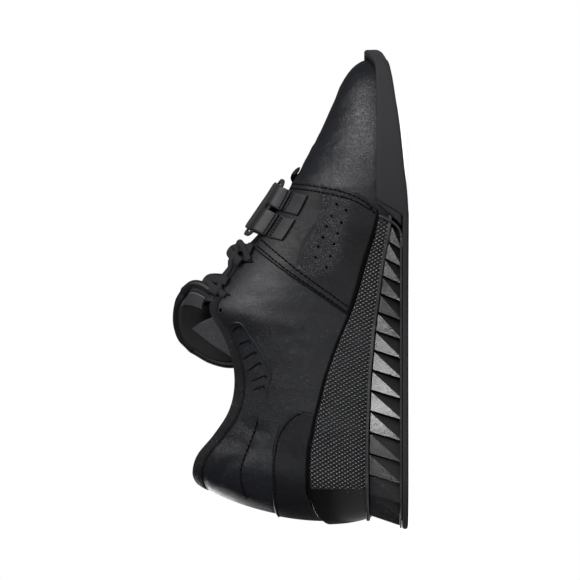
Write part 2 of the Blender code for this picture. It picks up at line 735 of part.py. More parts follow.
def strap_ring(slot):
    """Flat rectangular ring with rounded corners between the strap and the tabs."""
    corner = 0.22
    s0, s1 = RING_RIBS
    w0, w1 = RING_WAYS
    s_mid, s_half = (s0 + s1) / 2, (s1 - s0) / 2
    w_mid, w_half = (w0 + w1) / 2, (w0 - w1) / 2
    half_side = [(1, 1 - corner), (1 - corner * 0.4, 1)] + [(t, 1) for t in (0.66, 0.33, 0.0)]
    quarter = half_side + [(-a, b) for a, b in half_side[-2::-1]]
    path = np.array(quarter + [(-a, -b) for a, b in quarter])
    s = s_mid + s_half * path[:, 0]
    w = w_mid + w_half * path[:, 1]
    lower = across(s, w, RING_OUT - RING_THICKNESS / 2)
    higher = across(s, w, RING_OUT + RING_THICKNESS / 2)
    middle = (lower + higher) / 2
    along = np.roll(middle, -1, 0) - np.roll(middle, 1, 0)
    up = higher - lower
    over = np.cross(along, up)
    over /= np.linalg.norm(over, axis=1, keepdims=True)
    half = RING_BAR / 2
    ring = [lower + over * half * 0.7, middle + over * half, higher + over * half * 0.7,
            higher - over * half * 0.7, middle - over * half, lower - over * half * 0.7]
    return add("strap_ring", *strip(np.stack(ring, 1), ring=True), slot)


LACE_ROWS = ((14.50, 14.05), (11.62, 11.15), (10.45, 9.95))


def lace_bar(name, s_from, s_to, distance, slot):
    """One lace from the medial to the lateral side of the throat, over the tongue."""
    t = np.linspace(-1, 1, 11)
    s = s_from + (s_to - s_from) * (t + 1) / 2
    gap = 0.5 * np.linalg.norm(skin(s, 1.0) - skin(-s, 1.0), axis=1)
    w = t * (gap + 0.0032)
    puff = 0.0040 * np.clip((12.6 - s) / 1.4, 0, 1) * np.clip(1 - t * t, 0, 1)
    lift = distance + 0.0006 * (1 - t ** 4) + puff
    low = across(s, w, lift)
    high = across(s, w, lift + LACE_THICKNESS)
    middle = (low + high) / 2
    along = np.gradient(middle, axis=0)
    over = np.cross(along, high - low)
    over /= np.linalg.norm(over, axis=1, keepdims=True)
    half = LACE_WIDTH / 2
    sections = np.stack([low + over * half * 0.75, middle + over * half, high + over * half * 0.75,
                         high - over * half * 0.75, middle - over * half, low - over * half * 0.75], 1)
    return add(name, *strip(sections), slot)


def lace_crossing(number, slot):
    """Two laces that cross over the tongue, joined; the lowest row is one lace."""
    s_from, s_to = LACE_ROWS[number]
    first = lace_bar(f"lace_crossing_{number + 1}", s_from, s_to, GAP, slot)
    if number == 0:
        return first
    second = lace_bar(f"lace_cutter_{number + 1}", s_to, s_from, GAP + 0.0009, slot)
    second.hide_render = True
    second.display_type = "WIRE"
    bpy.data.collections["weightlifting_shoe"].objects.unlink(second)
    bpy.data.collections["cutters"].objects.link(second)
    join = first.modifiers.new("join", "BOOLEAN")
    join.operation = "UNION"
    join.solver = "EXACT"
    join.object = second
    return first


def build():
    """The whole shoe."""
    for old in list(bpy.data.objects):
        bpy.data.objects.remove(old, do_unlink=True)
    home = bpy.data.collections.new("weightlifting_shoe")
    cutters = bpy.data.collections.new("cutters")
    for collection in (home, cutters):
        bpy.context.scene.collection.children.link(collection)
    rubber = material("outsole_rubber", (0.020, 0.021, 0.023), 0.62)
    leather = material("upper_leather", (0.018, 0.019, 0.023), 0.46)
    foam = material("insole_fabric", (0.020, 0.020, 0.022), 0.85)
    plastic = material("heel_gloss_plastic", (0.016, 0.017, 0.019), 0.16)
    band = material("stabiliser_plastic", (0.018, 0.018, 0.021), 0.34)
    overlay = material("overlay_synthetic", (0.016, 0.016, 0.019), 0.52)
    lining = material("lining_mesh", (0.014, 0.014, 0.016), 0.90)
    webbing = material("strap_synthetic", (0.022, 0.022, 0.025), 0.58)
    ring = material("ring_plastic", (0.020, 0.020, 0.022), 0.28)
    cord = material("lace_cotton", (0.012, 0.012, 0.014), 0.90)
    outsole(rubber)
    heel_block(plastic)
    stabiliser(band)
    upper(leather)
    saddle("saddle_medial", -1, overlay)
    saddle("saddle_lateral", 1, overlay)
    heel_counter(leather)
    collar_lining(lining)
    insole(foam)
    tongue(overlay)
    strap(webbing)
    strap_ring(ring)
    webbing_tab("webbing_tab_front", 12.86, 13.56, webbing)
    webbing_tab("webbing_tab_rear", 12.06, 12.74, webbing)
    for number in range(len(LACE_ROWS)):
        lace_crossing(number, cord)


if __name__ == "__main__":
    build()
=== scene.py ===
"""Looks of a left weightlifting shoe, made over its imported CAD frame.

Every curved piece is worked out from one foot form, the Last: skin(u, v) is the outer face
of the upper at the place u round the foot (0 at the back of the heel, 21 at the toe, negative
on the medial side) and v up the wall. Lengths are in metres. Shapes are worked out from the
heel and moved to the frame's origin when their mesh is made.
"""

import logging
from dataclasses import dataclass, field
from enum import Enum
from typing import Callable, Optional, Sequence, Union

import bmesh
import bpy
import numpy as np
from mathutils import Matrix, Vector


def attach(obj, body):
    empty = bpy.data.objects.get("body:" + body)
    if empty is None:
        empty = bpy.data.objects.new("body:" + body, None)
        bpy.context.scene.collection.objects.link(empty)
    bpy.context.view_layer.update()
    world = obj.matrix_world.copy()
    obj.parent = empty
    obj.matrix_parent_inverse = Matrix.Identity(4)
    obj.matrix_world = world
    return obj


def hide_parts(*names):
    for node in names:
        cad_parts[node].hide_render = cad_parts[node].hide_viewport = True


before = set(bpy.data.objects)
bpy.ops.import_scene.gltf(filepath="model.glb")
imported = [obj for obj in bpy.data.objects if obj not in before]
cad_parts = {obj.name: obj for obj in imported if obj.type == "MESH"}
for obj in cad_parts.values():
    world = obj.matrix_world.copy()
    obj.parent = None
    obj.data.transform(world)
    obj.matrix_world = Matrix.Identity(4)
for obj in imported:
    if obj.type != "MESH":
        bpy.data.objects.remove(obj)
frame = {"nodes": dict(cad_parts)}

Array = np.ndarray
Socket = bpy.types.NodeSocket
Value = Union[float, tuple, Socket]
LOG = logging.getLogger("shoe")
MM = 0.001

# Plan of the sole's edge: share of length, share of ball width to each side
PLAN = (
    (0.007, 0.000, 0.000), (0.017, 0.157, 0.157), (0.047, 0.269, 0.269), (0.097, 0.343, 0.343),
    (0.150, 0.361, 0.366), (0.200, 0.361, 0.370), (0.253, 0.352, 0.375), (0.307, 0.343, 0.380),
    (0.360, 0.338, 0.389), (0.403, 0.338, 0.403), (0.447, 0.343, 0.417), (0.503, 0.361, 0.444),
    (0.570, 0.403, 0.481), (0.633, 0.454, 0.509), (0.683, 0.486, 0.514), (0.730, 0.500, 0.500),
    (0.780, 0.500, 0.463), (0.830, 0.481, 0.412), (0.880, 0.446, 0.356), (0.932, 0.386, 0.273),
    (0.976, 0.272, 0.140), (1.000, 0.083, -0.083),
)
# Top line of the upper: share of length, half gap, height, lean and slope, reach of each end
TOP = (
    (0.083, 0.000, 1.310, 28, 60, 0.25, 0.30), (0.090, 0.100, 1.320, 22, 60, 0.27, 0.30),
    (0.120, 0.185, 1.330, 14, 62, 0.31, 0.30), (0.160, 0.225, 1.290, 9, 66, 0.34, 0.30),
    (0.205, 0.245, 1.180, 7, 74, 0.36, 0.30), (0.253, 0.262, 1.085, 6, 76, 0.36, 0.30),
    (0.303, 0.273, 1.045, 5, 74, 0.36, 0.30), (0.357, 0.275, 1.055, 4, 70, 0.36, 0.32),
    (0.413, 0.262, 1.120, 3, 62, 0.37, 0.34), (0.463, 0.232, 1.210, 3, 52, 0.38, 0.36),
    (0.500, 0.210, 1.165, 3, 46, 0.39, 0.36), (0.550, 0.190, 1.055, 4, 42, 0.40, 0.36),
    (0.613, 0.178, 0.910, 6, 38, 0.41, 0.36), (0.677, 0.165, 0.785, 8, 32, 0.42, 0.36),
    (0.730, 0.135, 0.700, 10, 22, 0.42, 0.36), (0.767, 0.000, 0.655, 11, 0, 0.42, 0.36),
    (0.797, 0.000, 0.605, 11, 0, 0.42, 0.37), (0.823, 0.000, 0.560, 10, 0, 0.42, 0.38),
    (0.852, 0.000, 0.518, 8, 0, 0.42, 0.39), (0.880, 0.000, 0.480, 5, 0, 0.42, 0.40),
    (0.907, 0.000, 0.448, 2, 0, 0.42, 0.40), (0.927, 0.000, 0.425, 0, 0, 0.42, 0.40),
)
# Levels of the sole: share of length, tread, seat and the top of the outsole's side
LEVELS = (
    (0.000, 0.0000, 0.0230, 0.0035), (0.150, 0.0000, 0.0230, 0.0035), (0.277, 0.0000, 0.0222, 0.0035),
    (0.380, 0.0000, 0.0203, 0.0035), (0.490, 0.0000, 0.0166, 0.0035), (0.577, 0.0000, 0.0130, 0.0035),
    (0.640, 0.0000, 0.0094, 0.0035), (0.657, 0.0003, 0.0091, 0.0092), (0.683, 0.0008, 0.0088, 0.0184),
    (0.737, 0.0026, 0.0094, 0.0186), (0.783, 0.0040, 0.0105, 0.0184), (0.830, 0.0056, 0.0120, 0.0184),
    (0.870, 0.0074, 0.0140, 0.0186), (0.937, 0.0104, 0.0168, 0.0192), (0.973, 0.0126, 0.0188, 0.0225),
    (1.000, 0.0146, 0.0205, 0.0270),
)
# Upper edge of the stabiliser and of the heel counter: share of length and height
BAND_TOP = (
    (0.000, 0.0440), (0.030, 0.0500), (0.075, 0.0570), (0.120, 0.0595), (0.170, 0.0590),
    (0.220, 0.0565), (0.290, 0.0520), (0.350, 0.0470), (0.440, 0.0365), (0.490, 0.0310),
    (0.560, 0.0250), (0.620, 0.0192), (0.655, 0.0164),
)
COUNTER_TOP = (
    (0.000, 0.0815), (0.170, 0.0810), (0.215, 0.0785), (0.245, 0.0730), (0.265, 0.0660), (0.280, 0.0590),
)


class Side(Enum):
    """Side of the foot, as the sign of the place round it."""

    MEDIAL = -1
    LATERAL = 1

    def __str__(self) -> str:
        """Its name in small letters, as pieces carry it."""
        return self.name.lower()


class Level(Enum):
    """Column of the levels table."""

    TREAD = 1
    SEAT = 2
    SIDE_TOP = 3


class Pattern(Enum):
    """Fine relief of a finish."""

    LEATHER = "leather"
    RUBBER = "rubber"
    GLOSS = "gloss"
    DOTS = "dots"
    WEAVE = "weave"
    BRAID = "braid"
    MESH = "mesh"
    RIBS = "ribs"


def column(table: Sequence, index: int, at: Array) -> Array:
    """Value of a table's column, a smooth curve through its rows with no overshoot.

    Args:
        table: rows whose first column rises.
        index: the column that is read.
        at: places in the first column.

    Returns:
        Cubic through each pair of rows, with the harmonic mean of the two slopes at a row.
    """
    rows = np.asarray(table, float)
    x, y = rows[:, 0], rows[:, index]
    at = np.clip(np.asarray(at, float), x[0], x[-1])
    step = np.diff(x)
    rise = np.diff(y) / step
    both = rise[1:] * rise[:-1]
    total = np.where(both > 0, rise[1:] + rise[:-1], 1.0)
    slope = np.concatenate([rise[:1], np.where(both > 0, 2 * both / total, 0.0), rise[-1:]])
    k = np.clip(np.searchsorted(x, at, side="right") - 1, 0, len(x) - 2)
    t = (at - x[k]) / step[k]
    a = y[k] + t * step[k] * slope[k]
    b = y[k + 1] - (1 - t) * step[k] * slope[k + 1]
    blend = t * t * (3 - 2 * t)
    return a * (1 - blend) + b * blend


def catmull(p: Sequence[Array], t: Array) -> Array:
    """Catmull-Rom curve between the middle two of four points."""
    return 0.5 * (2 * p[1] + (p[2] - p[0]) * t + (2 * p[0] - 5 * p[1] + 4 * p[2] - p[3]) * t ** 2
                  + (3 * p[1] - p[0] - 3 * p[2] + p[3]) * t ** 3)


def bezier(a: Array, b: Array, c: Array, d: Array, t: Array) -> Array:
    """Cubic Bezier curve of four control points."""
    return a * (1 - t) ** 3 + 3 * b * t * (1 - t) ** 2 + 3 * c * t * t * (1 - t) + d * t ** 3


def around(medial: Array, lateral: Array, u: Array) -> Array:
    """Closed Catmull-Rom curve through one value a row on each side.

    Args:
        medial: values on the medial side, heel to toe.
        lateral: values on the lateral side, heel to toe.
        u: signed place round the foot.

    Returns:
        The value at each place.
    """
    ring = np.concatenate([lateral, medial[-2:0:-1]])
    u = np.asarray(u, float)
    base = np.floor(u).astype(int)
    return catmull([ring[(base + k) % len(ring)] for k in (-1, 0, 1, 2)], u - base)


def unit(vectors: Array) -> Array:
    """Vectors scaled to length one."""
    return vectors / np.maximum(np.linalg.norm(vectors, axis=-1, keepdims=True), 1e-12)


def smooth(value: Array, low: float, high: float) -> Array:
    """Soft step from 0 at low to 1 at high, 3t² - 2t³."""
    t = np.clip((np.asarray(value, float) - low) / (high - low), 0, 1)
    return t * t * (3 - 2 * t)


def resample(points: Array, count: int, closed: bool = False) -> Array:
    """Catmull-Rom curve through the rows of an array.

    Args:
        points: array whose first axis runs along the curve.
        count: rows wanted.
        closed: whether the last row runs back to the first.

    Returns:
        The curve at even steps of the row number.
    """
    size = len(points)
    t = np.linspace(0, size if closed else size - 1, count, endpoint=not closed)
    base = np.minimum(np.floor(t).astype(int), size - (1 if closed else 2))
    f = (t - base).reshape((-1,) + (1,) * (points.ndim - 1))
    rows = [base + k for k in (-1, 0, 1, 2)]
    return catmull([points[k % size if closed else np.clip(k, 0, size - 1)] for k in rows], f)


def lengths(points: Array) -> Array:
    """Length of a polyline up to each of its points."""
    return np.concatenate([[0], np.cumsum(np.linalg.norm(np.diff(points, axis=0), axis=1))])


def evenly(points: Array, count: int) -> Array:
    """Polyline at even steps of its length."""
    length = lengths(points)
    at = np.linspace(0, length[-1], count)
    return np.stack([np.interp(at, length, points[:, k]) for k in range(points.shape[1])], -1)


def blunt(wave: Array, power: float) -> Array:
    """Sine or cosine raised to a power with its sign kept, for a rounded rectangle."""
    return np.sign(wave) * np.abs(wave) ** power


def slopes_out(face: Array) -> Array:
    """Unit normals of a grid of points, from its steps along both ways."""
    return unit(np.cross(np.gradient(face, axis=1), np.gradient(face, axis=0)))


@dataclass(frozen=True)
class Last:
    """Foot form that the pieces lie on.

    A wall of the upper is a cubic Bezier curve from its foot on the sole to the top line,
    and its four control points run smoothly round the foot through the rows of the tables.
    """

    length: float = 0.300
    ball_width: float = 0.108
    instep: float = 0.100
    gap: float = 0.0003
    wall: float = 0.002
    side_wall: float = 0.0048
    stabiliser_wall: float = 0.0030
    outsole_heel: float = 0.0035
    vamp_row: int = 15
    rows: int = 21
    band_front: float = 13.2

    def level(self, which: Level, x: Array) -> Array:
        """Height of a level of the sole at a distance from the heel."""
        return column(LEVELS, which.value, np.asarray(x) / self.length)

    def edge(self, u: Array) -> tuple[Array, Array]:
        """Plan of the sole's edge.

        Args:
            u: signed place round the foot.

        Returns:
            The place, and the direction out of the edge.
        """
        plan = np.asarray(PLAN)

        def place(at: Array) -> Array:
            """Point of the plan."""
            x = around(plan[:, 0], plan[:, 0], at) * self.length
            y = around(-plan[:, 1], plan[:, 2], at) * self.ball_width
            return np.stack([x, y], -1)

        along = place(np.asarray(u) + 0.01) - place(np.asarray(u) - 0.01)
        return place(u), unit(np.stack([-along[..., 1], along[..., 0]], -1))

    def inset(self, u: Array, distance: Union[float, Array]) -> Array:
        """Plan of the sole's edge moved in by a distance."""
        xy, out = self.edge(u)
        return xy - out * np.asarray(distance)[..., None]

    def margin(self, u: Array) -> Array:
        """Distance in plan from the sole's edge to the foot line of the upper."""
        a = np.abs(u)
        heel = self.stabiliser_wall + self.gap + 0.0024 + 0.0044 * np.exp(-(a / 2.2) ** 2)
        return heel + (self.side_wall + self.gap - heel) * np.clip((a - 8) / 5, 0, 1)

    def ridge(self, x: Array) -> Array:
        """Sideways place of the top of the vamp."""
        return -0.085 * self.ball_width * smooth(np.asarray(x) / self.length, 0.5, 0.95)

    def rib(self, u: Array) -> tuple[Array, Array, Array, Array]:
        """Control points of the upper's wall.

        Args:
            u: signed place round the foot.

        Returns:
            Foot, the two inner points and the top.
        """
        u = np.asarray(u, float)
        table = np.asarray(TOP)
        _, out = self.edge(u)
        foot_xy = self.inset(u, self.margin(u))
        foot_z = self.level(Level.SEAT, foot_xy[..., 0]) + self.gap
        foot = np.concatenate([foot_xy, foot_z[..., None]], -1)
        row = [around(table[:, k], table[:, k], u) for k in range(7)]
        side = np.sign(u)
        half = np.clip(around(-table[:, 1], table[:, 1], u) * side, 0, None) * side
        half = np.where(np.abs(u) >= self.vamp_row, 0.0, half)
        x = row[0] * self.length
        top = np.stack([x, self.ridge(x) + half * self.ball_width, row[2] * self.instep], -1)
        drop = np.where(np.abs(u) >= self.vamp_row - 1, -0.55, 0.0)
        away = unit(np.stack([out[..., 0], out[..., 1], out[..., 0] * drop], -1))
        span = top - foot
        flat = np.concatenate([out, np.zeros_like(out[..., :1])], -1)
        rise = unit(span - (span * flat).sum(-1, keepdims=True) * flat)
        reach = np.linalg.norm(span, axis=-1, keepdims=True)
        lean = np.radians(row[3])[..., None]
        slope = np.radians(row[4])[..., None]
        first = foot + row[5][..., None] * reach * (flat * np.sin(lean) + rise * np.cos(lean))
        second = top + row[6][..., None] * reach * (away * np.cos(slope) - rise * np.sin(slope))
        return foot, first, second, top

    def skin(self, u: Array, v: Array) -> Array:
        """Outer face of the upper, a cubic Bezier curve in v through the rib at u."""
        return bezier(*self.rib(np.asarray(u, float)), np.asarray(v, float)[..., None])

    def outward(self, u: Array, v: Array) -> Array:
        """Direction out of the skin, from small steps along and up it.

        Args:
            u: signed place round the foot.
            v: place up the wall.

        Returns:
            Unit vectors. At the ridge of the vamp the two sides share their mean.
        """
        u, v = np.broadcast_arrays(np.asarray(u, float), np.asarray(v, float))

        def one(at: Array) -> Array:
            """Cross product of the two steps."""
            along = self.skin(at + 0.01, v) - self.skin(at - 0.01, v)
            up = self.skin(at, np.clip(v + 0.01, 0, 1)) - self.skin(at, np.clip(v - 0.01, 0, 1))
            return unit(np.cross(up, along))

        normal = one(u)
        shared = smooth(v, 0.8, 1.0) * (np.abs(u) > self.vamp_row - 0.01)
        if np.any(shared > 0):
            normal = unit(normal + one(-u) * shared[..., None])
        return normal

    def off(self, u: Array, v: Array, distance: Union[float, Array]) -> Array:
        """Point at a distance out from the skin."""
        return self.skin(u, v) + self.outward(u, v) * np.asarray(distance)[..., None]

    def height_on(self, u: Array, limit: Callable[[Array], Array]) -> Array:
        """Place up the wall where it reaches a height.

        Args:
            u: signed places round the foot, in one row.
            limit: height wanted at a distance from the heel.

        Returns:
            One place up the wall for each u, between two steps of a fine search.
        """
        steps = np.linspace(0, 1, 241)
        points = self.skin(np.asarray(u)[:, None], steps[None, :])
        over = points[..., 2] - limit(points[..., 0])
        first = np.clip(np.argmax(over > 0, axis=1), 1, 240)
        n = np.arange(len(first))
        below, above = over[n, first - 1], over[n, first]
        share = np.clip(-below / np.where(above - below == 0, 1, above - below), 0, 1)
        return steps[first - 1] + share * (steps[1] - steps[0])

    def meets(self, u: Array, table: Sequence, lift: float = 0.0) -> Array:
        """Place up the wall where it reaches a line of the tables, or a lift above it."""
        return self.height_on(u, lambda x: column(table, 1, x / self.length) + lift)

    def half_gap(self, s: Array) -> Array:
        """Half the width of the throat at a rib."""
        return 0.5 * np.linalg.norm(self.skin(s, np.ones(1)) - self.skin(-s, np.ones(1)), axis=-1)

    def along(self, side: Side, x: Array, low: float, high: float) -> Array:
        """Place round the foot where the sole's edge lies at a distance from the heel."""
        fine = side.value * np.linspace(low, high, 500)
        return np.interp(x, self.edge(fine)[0][:, 0], fine)

    def across(self, s: Array, w: Array, distance: Array) -> Array:
        """Point over the instep.

        Past the edge of the throat it lies on the skin of that side. Between the two edges
        it follows a Bezier arch that carries on the slope of both walls.

        Args:
            s: place of the rib, positive.
            w: signed way from the middle of the throat.
            distance: distance out.

        Returns:
            The points.
        """
        s, w, distance = np.broadcast_arrays(*(np.asarray(k, float) for k in (s, w, distance)))
        side = np.where(w < 0, -1.0, 1.0)
        gap = self.half_gap(s)
        foot, _, _, top = self.rib(side * s)
        reach = np.linalg.norm(top - foot, axis=-1) * 1.12
        past = np.clip((np.abs(w) - gap) / reach, 0, 1)
        on_wall = self.off(side * s, 1 - past, distance)
        ends, slopes = [], []
        for k in (-1, 1):
            tip = self.off(k * s, np.ones_like(s), distance)
            slopes.append(unit(tip - self.off(k * s, np.full_like(s, 0.97), distance)))
            ends.append(tip)
        t = np.clip((w / np.maximum(gap, 1e-6) + 1) / 2, 0, 1)[..., None]
        chord = 0.38 * np.linalg.norm(ends[1] - ends[0], axis=-1, keepdims=True)
        arch = bezier(ends[0], ends[0] + slopes[0] * chord, ends[1] + slopes[1] * chord, ends[1], t)
        return np.where((np.abs(w) < gap)[..., None], arch, on_wall)

    def locate(self, side: Side, marks: Sequence) -> Array:
        """Places on the skin of marks seen from the side.

        Args:
            side: side of the foot.
            marks: distance from the heel and height, in millimetres.

        Returns:
            A row (u, v) for each mark, the nearest of a fine grid in side view.
        """
        u = side.value * np.linspace(0.3, self.rows - 0.3, 500)
        v = np.linspace(0, 1, 140)
        seen = self.skin(u[:, None], v[None, :])[..., (0, 2)]
        found = []
        for mark in np.asarray(marks, float) * MM:
            i, j = divmod(int(np.argmin(((seen - mark) ** 2).sum(-1))), len(v))
            found.append((u[i], v[j]))
        return np.array(found)

    def middle(self) -> Array:
        """Middle of the sole's plan, which is the frame's origin."""
        places = np.concatenate([np.linspace(0, self.vamp_row, 26), np.linspace(self.vamp_row, self.rows, 10)])
        xy = np.concatenate([self.edge(places)[0], self.edge(-places)[0]])
        return np.append((xy.min(0) + xy.max(0)) / 2, 0.0)


LAST = Last()
ORIGIN = LAST.middle()


class Net:
    """Short way to write the nodes of one material or group."""

    def __init__(self, tree: bpy.types.NodeTree) -> None:
        """Keep the tree."""
        self.tree = tree

    def node(self, kind: str, inputs: Optional[dict] = None, **settings: object) -> bpy.types.Node:
        """Add a node.

        Args:
            kind: Blender's name of the node type.
            inputs: sockets to link or numbers to set, by input name or index.
            settings: properties of the node.

        Returns:
            The node.
        """
        made = self.tree.nodes.new(kind)
        for key, value in settings.items():
            setattr(made, key, value)
        for key, value in (inputs or {}).items():
            if isinstance(value, Socket):
                self.tree.links.new(value, made.inputs[key])
            else:
                made.inputs[key].default_value = value
        return made

    def math(self, operation: str, a: Value, b: Value = 0.0, clamp: bool = False) -> Socket:
        """Result of a math node."""
        return self.node("ShaderNodeMath", {0: a, 1: b}, operation=operation, use_clamp=clamp).outputs[0]

    def between(self, value: Socket, low: float, high: float, first: float = 0.0,
                last: float = 1.0) -> Socket:
        """Value carried from one range to another and held at both ends."""
        inputs = {"Value": value, "From Min": low, "From Max": high, "To Min": first, "To Max": last}
        return self.node("ShaderNodeMapRange", inputs, clamp=True).outputs[0]

    def blend(self, share: Value, a: Value, b: Value) -> Socket:
        """Mix of two colours."""
        mix = self.node("ShaderNodeMix", {0: share, 6: a, 7: b}, data_type="RGBA", clamp_factor=True)
        return mix.outputs[2]

    def noise(self, vector: Socket, scale: Value, detail: float = 3.0, rough: float = 0.5) -> Socket:
        """Noise from 0 to 1 at so many waves a metre."""
        inputs = {"Vector": vector, "Scale": scale, "Detail": detail, "Roughness": rough}
        return self.node("ShaderNodeTexNoise", inputs).outputs[0]

    def split(self, vector: Socket) -> list[Socket]:
        """The three numbers of a vector."""
        return list(self.node("ShaderNodeSeparateXYZ", {0: vector}).outputs)


class Effect:
    """A node group that several finishes share, made once."""

    name = "effect"
    takes: tuple = ()
    gives: tuple = ()

    def tree(self) -> bpy.types.NodeTree:
        """The group, made at its first use."""
        found = bpy.data.node_groups.get(self.name)
        if found:
            return found
        made = bpy.data.node_groups.new(self.name, "ShaderNodeTree")
        for label, kind, value in self.takes:
            socket = made.interface.new_socket(label, in_out="INPUT", socket_type=kind)
            if value is not None:
                socket.default_value = value
        for label in self.gives:
            made.interface.new_socket(label, in_out="OUTPUT", socket_type="NodeSocketFloat")
        net = Net(made)
        source = net.node("NodeGroupInput")
        result = net.node("NodeGroupOutput")
        for label, socket in self.draw(net, source.outputs).items():
            made.links.new(socket, result.inputs[label])
        return made

    def draw(self, net: Net, given: bpy.types.bpy_prop_collection) -> dict[str, Socket]:
        """Nodes inside the group, and the socket behind each output."""
        raise NotImplementedError

    def place(self, net: Net, **values: Value) -> bpy.types.bpy_prop_collection:
        """Add the group to a material with its values, and return its outputs."""
        return net.node("ShaderNodeGroup", values, node_tree=self.tree()).outputs


FLOAT, VECTOR = "NodeSocketFloat", "NodeSocketVector"


class Grain(Effect):
    """Leather grain: rounded cells between creases, with a finer noise over them."""

    name = "leather_grain"
    takes = (("Vector", VECTOR, None), ("Cells", FLOAT, 900.0))
    gives = ("Height", "Tone")

    def draw(self, net: Net, given: bpy.types.bpy_prop_collection) -> dict[str, Socket]:
        """Distance to the cell's edge, bent by a slow noise."""
        bend = net.node("ShaderNodeTexNoise",
                        {"Vector": given["Vector"], "Scale": 160.0, "Detail": 2.0}).outputs[1]
        shifted = net.node("ShaderNodeVectorMath", {0: bend, 1: (0.0016, 0.0016, 0.0016)}, operation="MULTIPLY")
        moved = net.node("ShaderNodeVectorMath", {0: given["Vector"], 1: shifted.outputs[0]}, operation="ADD")
        cell = net.node("ShaderNodeTexVoronoi", {"Vector": moved.outputs[0], "Scale": given["Cells"]},
                        feature="DISTANCE_TO_EDGE").outputs[0]
        dome = net.between(cell, 0.0, 0.32)
        slow = net.noise(given["Vector"], 230.0, 4.0, 0.62)
        height = net.math("ADD", net.math("MULTIPLY", dome, 0.45), net.math("MULTIPLY", slow, 2.2))
        tone = net.noise(given["Vector"], 34.0, 4.0, 0.6)
        return {"Height": height, "Tone": tone}


class Dust(Effect):
    """Fine pale specks and a faint film that gathers in patches."""

    name = "dust_and_glint_specks"
    takes = (("Vector", VECTOR, None), ("Specks", FLOAT, 1400.0), ("Share", FLOAT, 0.1), ("Film", FLOAT, 0.1))
    gives = ("Mask",)

    def draw(self, net: Net, given: bpy.types.bpy_prop_collection) -> dict[str, Socket]:
        """Cells whose middle is near and whose number is low, in patches of a slow noise."""
        cell = net.node("ShaderNodeTexVoronoi", {"Vector": given["Vector"], "Scale": given["Specks"]})
        near = net.between(cell.outputs["Distance"], 0.34, 0.14)
        pick = net.math("LESS_THAN", net.split(cell.outputs["Color"])[0], given["Share"])
        patch = net.between(net.noise(given["Vector"], 55.0, 5.0, 0.65), 0.42, 0.68)
        specks = net.math("MULTIPLY", net.math("MULTIPLY", near, pick), net.math("ADD", patch, 0.18))
        film = net.math("MULTIPLY", patch, given["Film"])
        return {"Mask": net.math("ADD", specks, film, clamp=True)}


class Dots(Effect):
    """Small domes on a diamond lattice, in the piece's own map."""

    name = "diamond_dots"
    takes = (("Vector", VECTOR, None), ("Pitch", FLOAT, 0.0019))
    gives = ("Height",)

    def draw(self, net: Net, given: bpy.types.bpy_prop_collection) -> dict[str, Socket]:
        """Product of two cosines along the lattice's slanted lines, cut off below."""
        x, y, _ = net.split(given["Vector"])
        turn = net.math("DIVIDE", 3.14159265, given["Pitch"])
        tall = net.math("MULTIPLY", y, 0.72)
        one = net.math("COSINE", net.math("MULTIPLY", net.math("ADD", x, tall), turn))
        two = net.math("COSINE", net.math("MULTIPLY", net.math("SUBTRACT", x, tall), turn))
        dome = net.math("ABSOLUTE", net.math("MULTIPLY", one, two))
        return {"Height": net.between(dome, 0.05, 0.85)}


class Weave(Effect):
    """Plain weave in the piece's own map: two sets of threads that pass over and under."""

    name = "plain_weave"
    takes = (("Vector", VECTOR, None), ("Pitch", FLOAT, 0.0008), ("Slant", FLOAT, 0.0))
    gives = ("Height", "Over")

    def draw(self, net: Net, given: bpy.types.bpy_prop_collection) -> dict[str, Socket]:
        """Rounded threads from sines, chosen by the sign of their product."""
        x, y, _ = net.split(given["Vector"])
        turn = net.math("DIVIDE", 3.14159265, given["Pitch"])
        slanted = net.math("ADD", x, net.math("MULTIPLY", y, given["Slant"]))
        leaning = net.math("SUBTRACT", y, net.math("MULTIPLY", x, given["Slant"]))
        a = net.math("SINE", net.math("MULTIPLY", slanted, turn))
        b = net.math("SINE", net.math("MULTIPLY", leaning, turn))
        over = net.math("GREATER_THAN", net.math("MULTIPLY", a, b), 0.0)
        across = net.math("MULTIPLY", net.math("ABSOLUTE", a), over)
        along = net.math("MULTIPLY", net.math("ABSOLUTE", b), net.math("SUBTRACT", 1.0, over))
        return {"Height": net.math("ADD", across, along), "Over": over}


class Ribs(Effect):
    """Fine raised lines, slanted in the piece's own map."""

    name = "fine_ribs"
    takes = (("Vector", VECTOR, None), ("Pitch", FLOAT, 0.001), ("Slant", FLOAT, 0.0))
    gives = ("Height",)

    def draw(self, net: Net, given: bpy.types.bpy_prop_collection) -> dict[str, Socket]:
        """Half sine along the slanted way."""
        x, y, _ = net.split(given["Vector"])
        way = net.math("ADD", x, net.math("MULTIPLY", y, given["Slant"]))
        wave = net.math("SINE", net.math("MULTIPLY", way, net.math("DIVIDE", 3.14159265, given["Pitch"])))
        return {"Height": net.math("ABSOLUTE", wave)}


